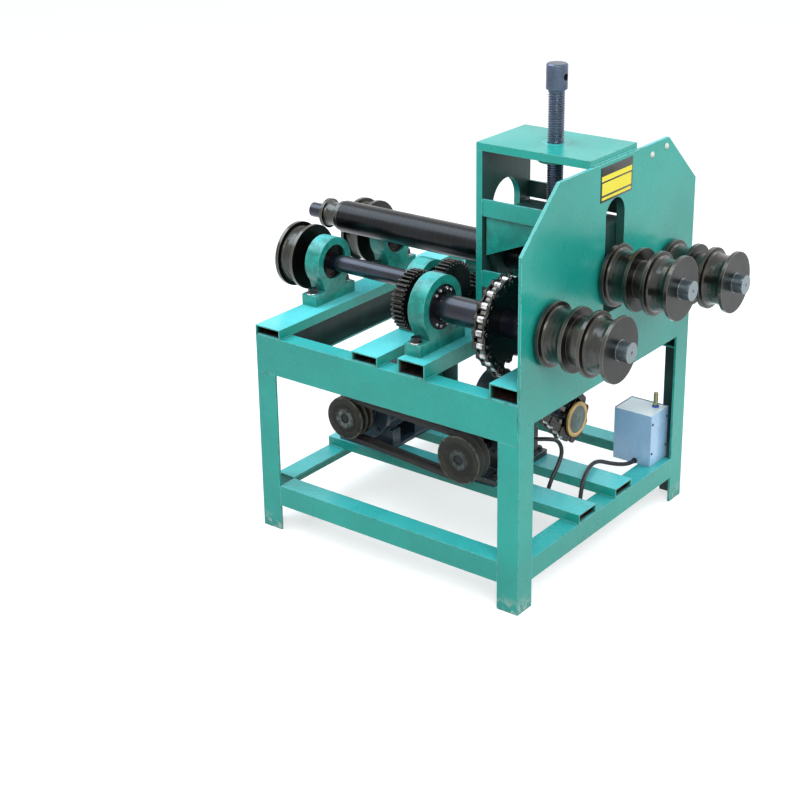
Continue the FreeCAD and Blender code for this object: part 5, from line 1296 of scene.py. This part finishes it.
class RINGROLLER_OT_box_details(bpy.types.Operator):
    """Add the control box's screws and the seam of its folded top, painted dark as the lip's
    shadow line
    """
    bl_idname = "ringroller.box_details"
    bl_label = "Control Box Details"

    def execute(self, context):
        add_piece("box_screws", self.screws, "bolt steel", "base")
        add_piece("box_seam", self.seam, "seam blue", "base")
        return {"FINISHED"}

    def screws(self, bm):
        """A screw in each corner of the cover."""
        low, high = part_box("control_box_cover")
        for x in (low.x + 0.008, high.x - 0.008):
            for z in (low.z + 0.036, high.z - 0.026):
                dome_screw(bm, facing((x, low.y, z), FRONT), 0.0036, 0.0022)

    def seam(self, bm):
        """The seam's back run and its run along the right side: a raised lip, painted dark blue
        for the shadow line along it.
        """
        low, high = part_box("control_box")
        wall, proud, foot, top = 0.0024, 0.0003, high.z - 0.002, high.z + 0.0012
        slab(bm, (low.x + 0.001, high.y - wall, foot), (high.x, high.y + proud, top), 0.0004)
        slab(bm, (high.x - wall, low.y + 0.004, foot), (high.x + proud, high.y - wall, top),
             0.0004)


# ---------------------------------------------------------------- stage

class RINGROLLER_OT_stage(bpy.types.Operator):
    """Set up the floor, the even light, the lamps and the camera"""
    bl_idname = "ringroller.stage"
    bl_label = "Stage"

    def execute(self, context):
        settings = context.scene.ringroller_stage
        self.floor(context)
        self.sky(context, settings)
        self.lamps(context, settings)
        self.camera(context, settings)
        context.scene.view_settings.view_transform = "Standard"
        return {"FINISHED"}

    def floor(self, context):
        """A pale floor that takes shadows, and glows up to white where it is seen."""
        half = 14.0
        mesh = bpy.data.meshes.new("floor")
        mesh.from_pydata([(-half, -half, 0), (half, -half, 0), (half, half, 0), (-half, half, 0)],
                         [], [(0, 1, 2, 3)])
        material = bpy.data.materials.new("floor")
        nodes = NodeTree(material)
        pale = nodes.new("BsdfDiffuse", Color=(0.5, 0.5, 0.5))
        glow = nodes.new("Emission", Color=WHITE,
                         Strength=nodes.times(nodes.shows_background(), FLOOR_GLOW))
        both = nodes.new("AddShader", pale.outputs[0], glow.outputs[0])
        nodes.new("OutputMaterial", Surface=both.outputs[0])
        mesh.materials.append(material)
        floor = bpy.data.objects.new("floor", mesh)
        context.scene.collection.objects.link(floor)

    def sky(self, context, settings):
        """Light that grows from the ground up, behind a background that shows white."""
        world = bpy.data.worlds.new("studio")
        context.scene.world = world
        nodes = NodeTree(world)
        way = nodes.new("SeparateXYZ", nodes.new("TexCoord").outputs["Generated"])
        rise = nodes.new("MapRange", Value=way.outputs["Z"], From_Min=-0.1, From_Max=0.85,
                         To_Min=settings.ground, To_Max=settings.sky)
        lit = nodes.new("Background", Color=(0.86, 0.95, 1.0), Strength=rise.outputs[0])
        seen = nodes.new("Background", Color=WHITE, Strength=1.0)
        mix = nodes.new("MixShader", nodes.shows_background(), lit.outputs[0], seen.outputs[0])
        nodes.new("OutputWorld", Surface=mix.outputs[0])

    def lamps(self, context, settings):
        """Three large soft lamps that face the middle of the machine."""
        middle = Vector((0.0, 0.0, 0.6))
        for name, place, size, power, tint in (
                ("key lamp", (-2.6, -2.4, 3.4), 2.6, settings.key_power, WHITE),
                ("fill lamp", (2.8, -2.2, 2.0), 2.4, settings.fill_power, WHITE),
                ("back lamp", (-0.7, 2.4, 3.9), 3.0, settings.back_power, (0.76, 0.88, 1.0))):
            lamp = bpy.data.lights.new(name, "AREA")
            lamp.color = tint
            lamp.shape = "SQUARE"
            lamp.size = size
            lamp.energy = power
            holder = bpy.data.objects.new(name, lamp)
            holder.location = place
            holder.rotation_euler = (middle - Vector(place)).to_track_quat("-Z", "Y").to_euler()
            context.scene.collection.objects.link(holder)

    def camera(self, context, settings):
        """A camera turned, lifted and rolled by the settings, its picture shifted down."""
        turn, lift = settings.azimuth, settings.elevation
        back = Vector((math.sin(turn) * math.cos(lift), -math.cos(turn) * math.cos(lift),
                       math.sin(lift)))
        right = Vector((math.cos(turn), math.sin(turn), 0.0))
        up = back.cross(right)
        cos, sin = math.cos(settings.roll), math.sin(settings.roll)
        axes = (right * cos + up * sin, up * cos - right * sin, back)
        lens = bpy.data.cameras.new("camera")
        lens.lens = settings.lens
        lens.sensor_width = SENSOR_WIDTH
        lens.shift_y = CAMERA_SHIFT
        lens.clip_end = 60.0
        camera = bpy.data.objects.new("camera", lens)
        camera.matrix_world = Matrix.Translation(CAMERA_PLACE) @ Matrix(axes).transposed().to_4x4()
        context.scene.collection.objects.link(camera)
        context.scene.camera = camera


# ---------------------------------------------------------------- registration

OPERATORS = (
    RINGROLLER_OT_stage,
    RINGROLLER_OT_finishes,
    RINGROLLER_OT_cable,
    RINGROLLER_OT_chain,
    RINGROLLER_OT_sprocket_ring,
    RINGROLLER_OT_press_screw,
    RINGROLLER_OT_fasteners,
    RINGROLLER_OT_welds,
    RINGROLLER_OT_sign,
    RINGROLLER_OT_box_details,
)
GROUPS = (
    ("ringroller_finish", FinishSettings),
    ("ringroller_cable", CableSettings),
    ("ringroller_chain", ChainSettings),
    ("ringroller_screw", ScrewSettings),
    ("ringroller_weld", WeldSettings),
    ("ringroller_sign", SignSettings),
    ("ringroller_stage", StageSettings),
)


class RINGROLLER_PT_parts(bpy.types.Panel):
    """Lists the machine's pieces and their settings"""
    bl_label = "Ring Roller"
    bl_idname = "RINGROLLER_PT_parts"
    bl_space_type = "VIEW_3D"
    bl_region_type = "UI"
    bl_category = "Ring Roller"

    def draw(self, context):
        for operator in OPERATORS:
            self.layout.operator(operator.bl_idname)
        for group_name, _ in GROUPS:
            settings = getattr(context.scene, group_name)
            box = self.layout.box()
            for name in settings.bl_rna.properties.keys():
                if name not in ("rna_type", "name"):
                    box.prop(settings, name)


def register():
    for name, group in GROUPS:
        bpy.utils.register_class(group)
        setattr(bpy.types.Scene, name, PointerProperty(type=group))
    for item in (*OPERATORS, RINGROLLER_PT_parts):
        bpy.utils.register_class(item)


def unregister():
    for item in reversed((*OPERATORS, RINGROLLER_PT_parts)):
        bpy.utils.unregister_class(item)
    for name, group in reversed(GROUPS):
        delattr(bpy.types.Scene, name)
        bpy.utils.unregister_class(group)


def main():
    register()
    for operator in OPERATORS:
        group, name = operator.bl_idname.split(".")
        getattr(getattr(bpy.ops, group), name)()


if __name__ == "__main__":
    main()
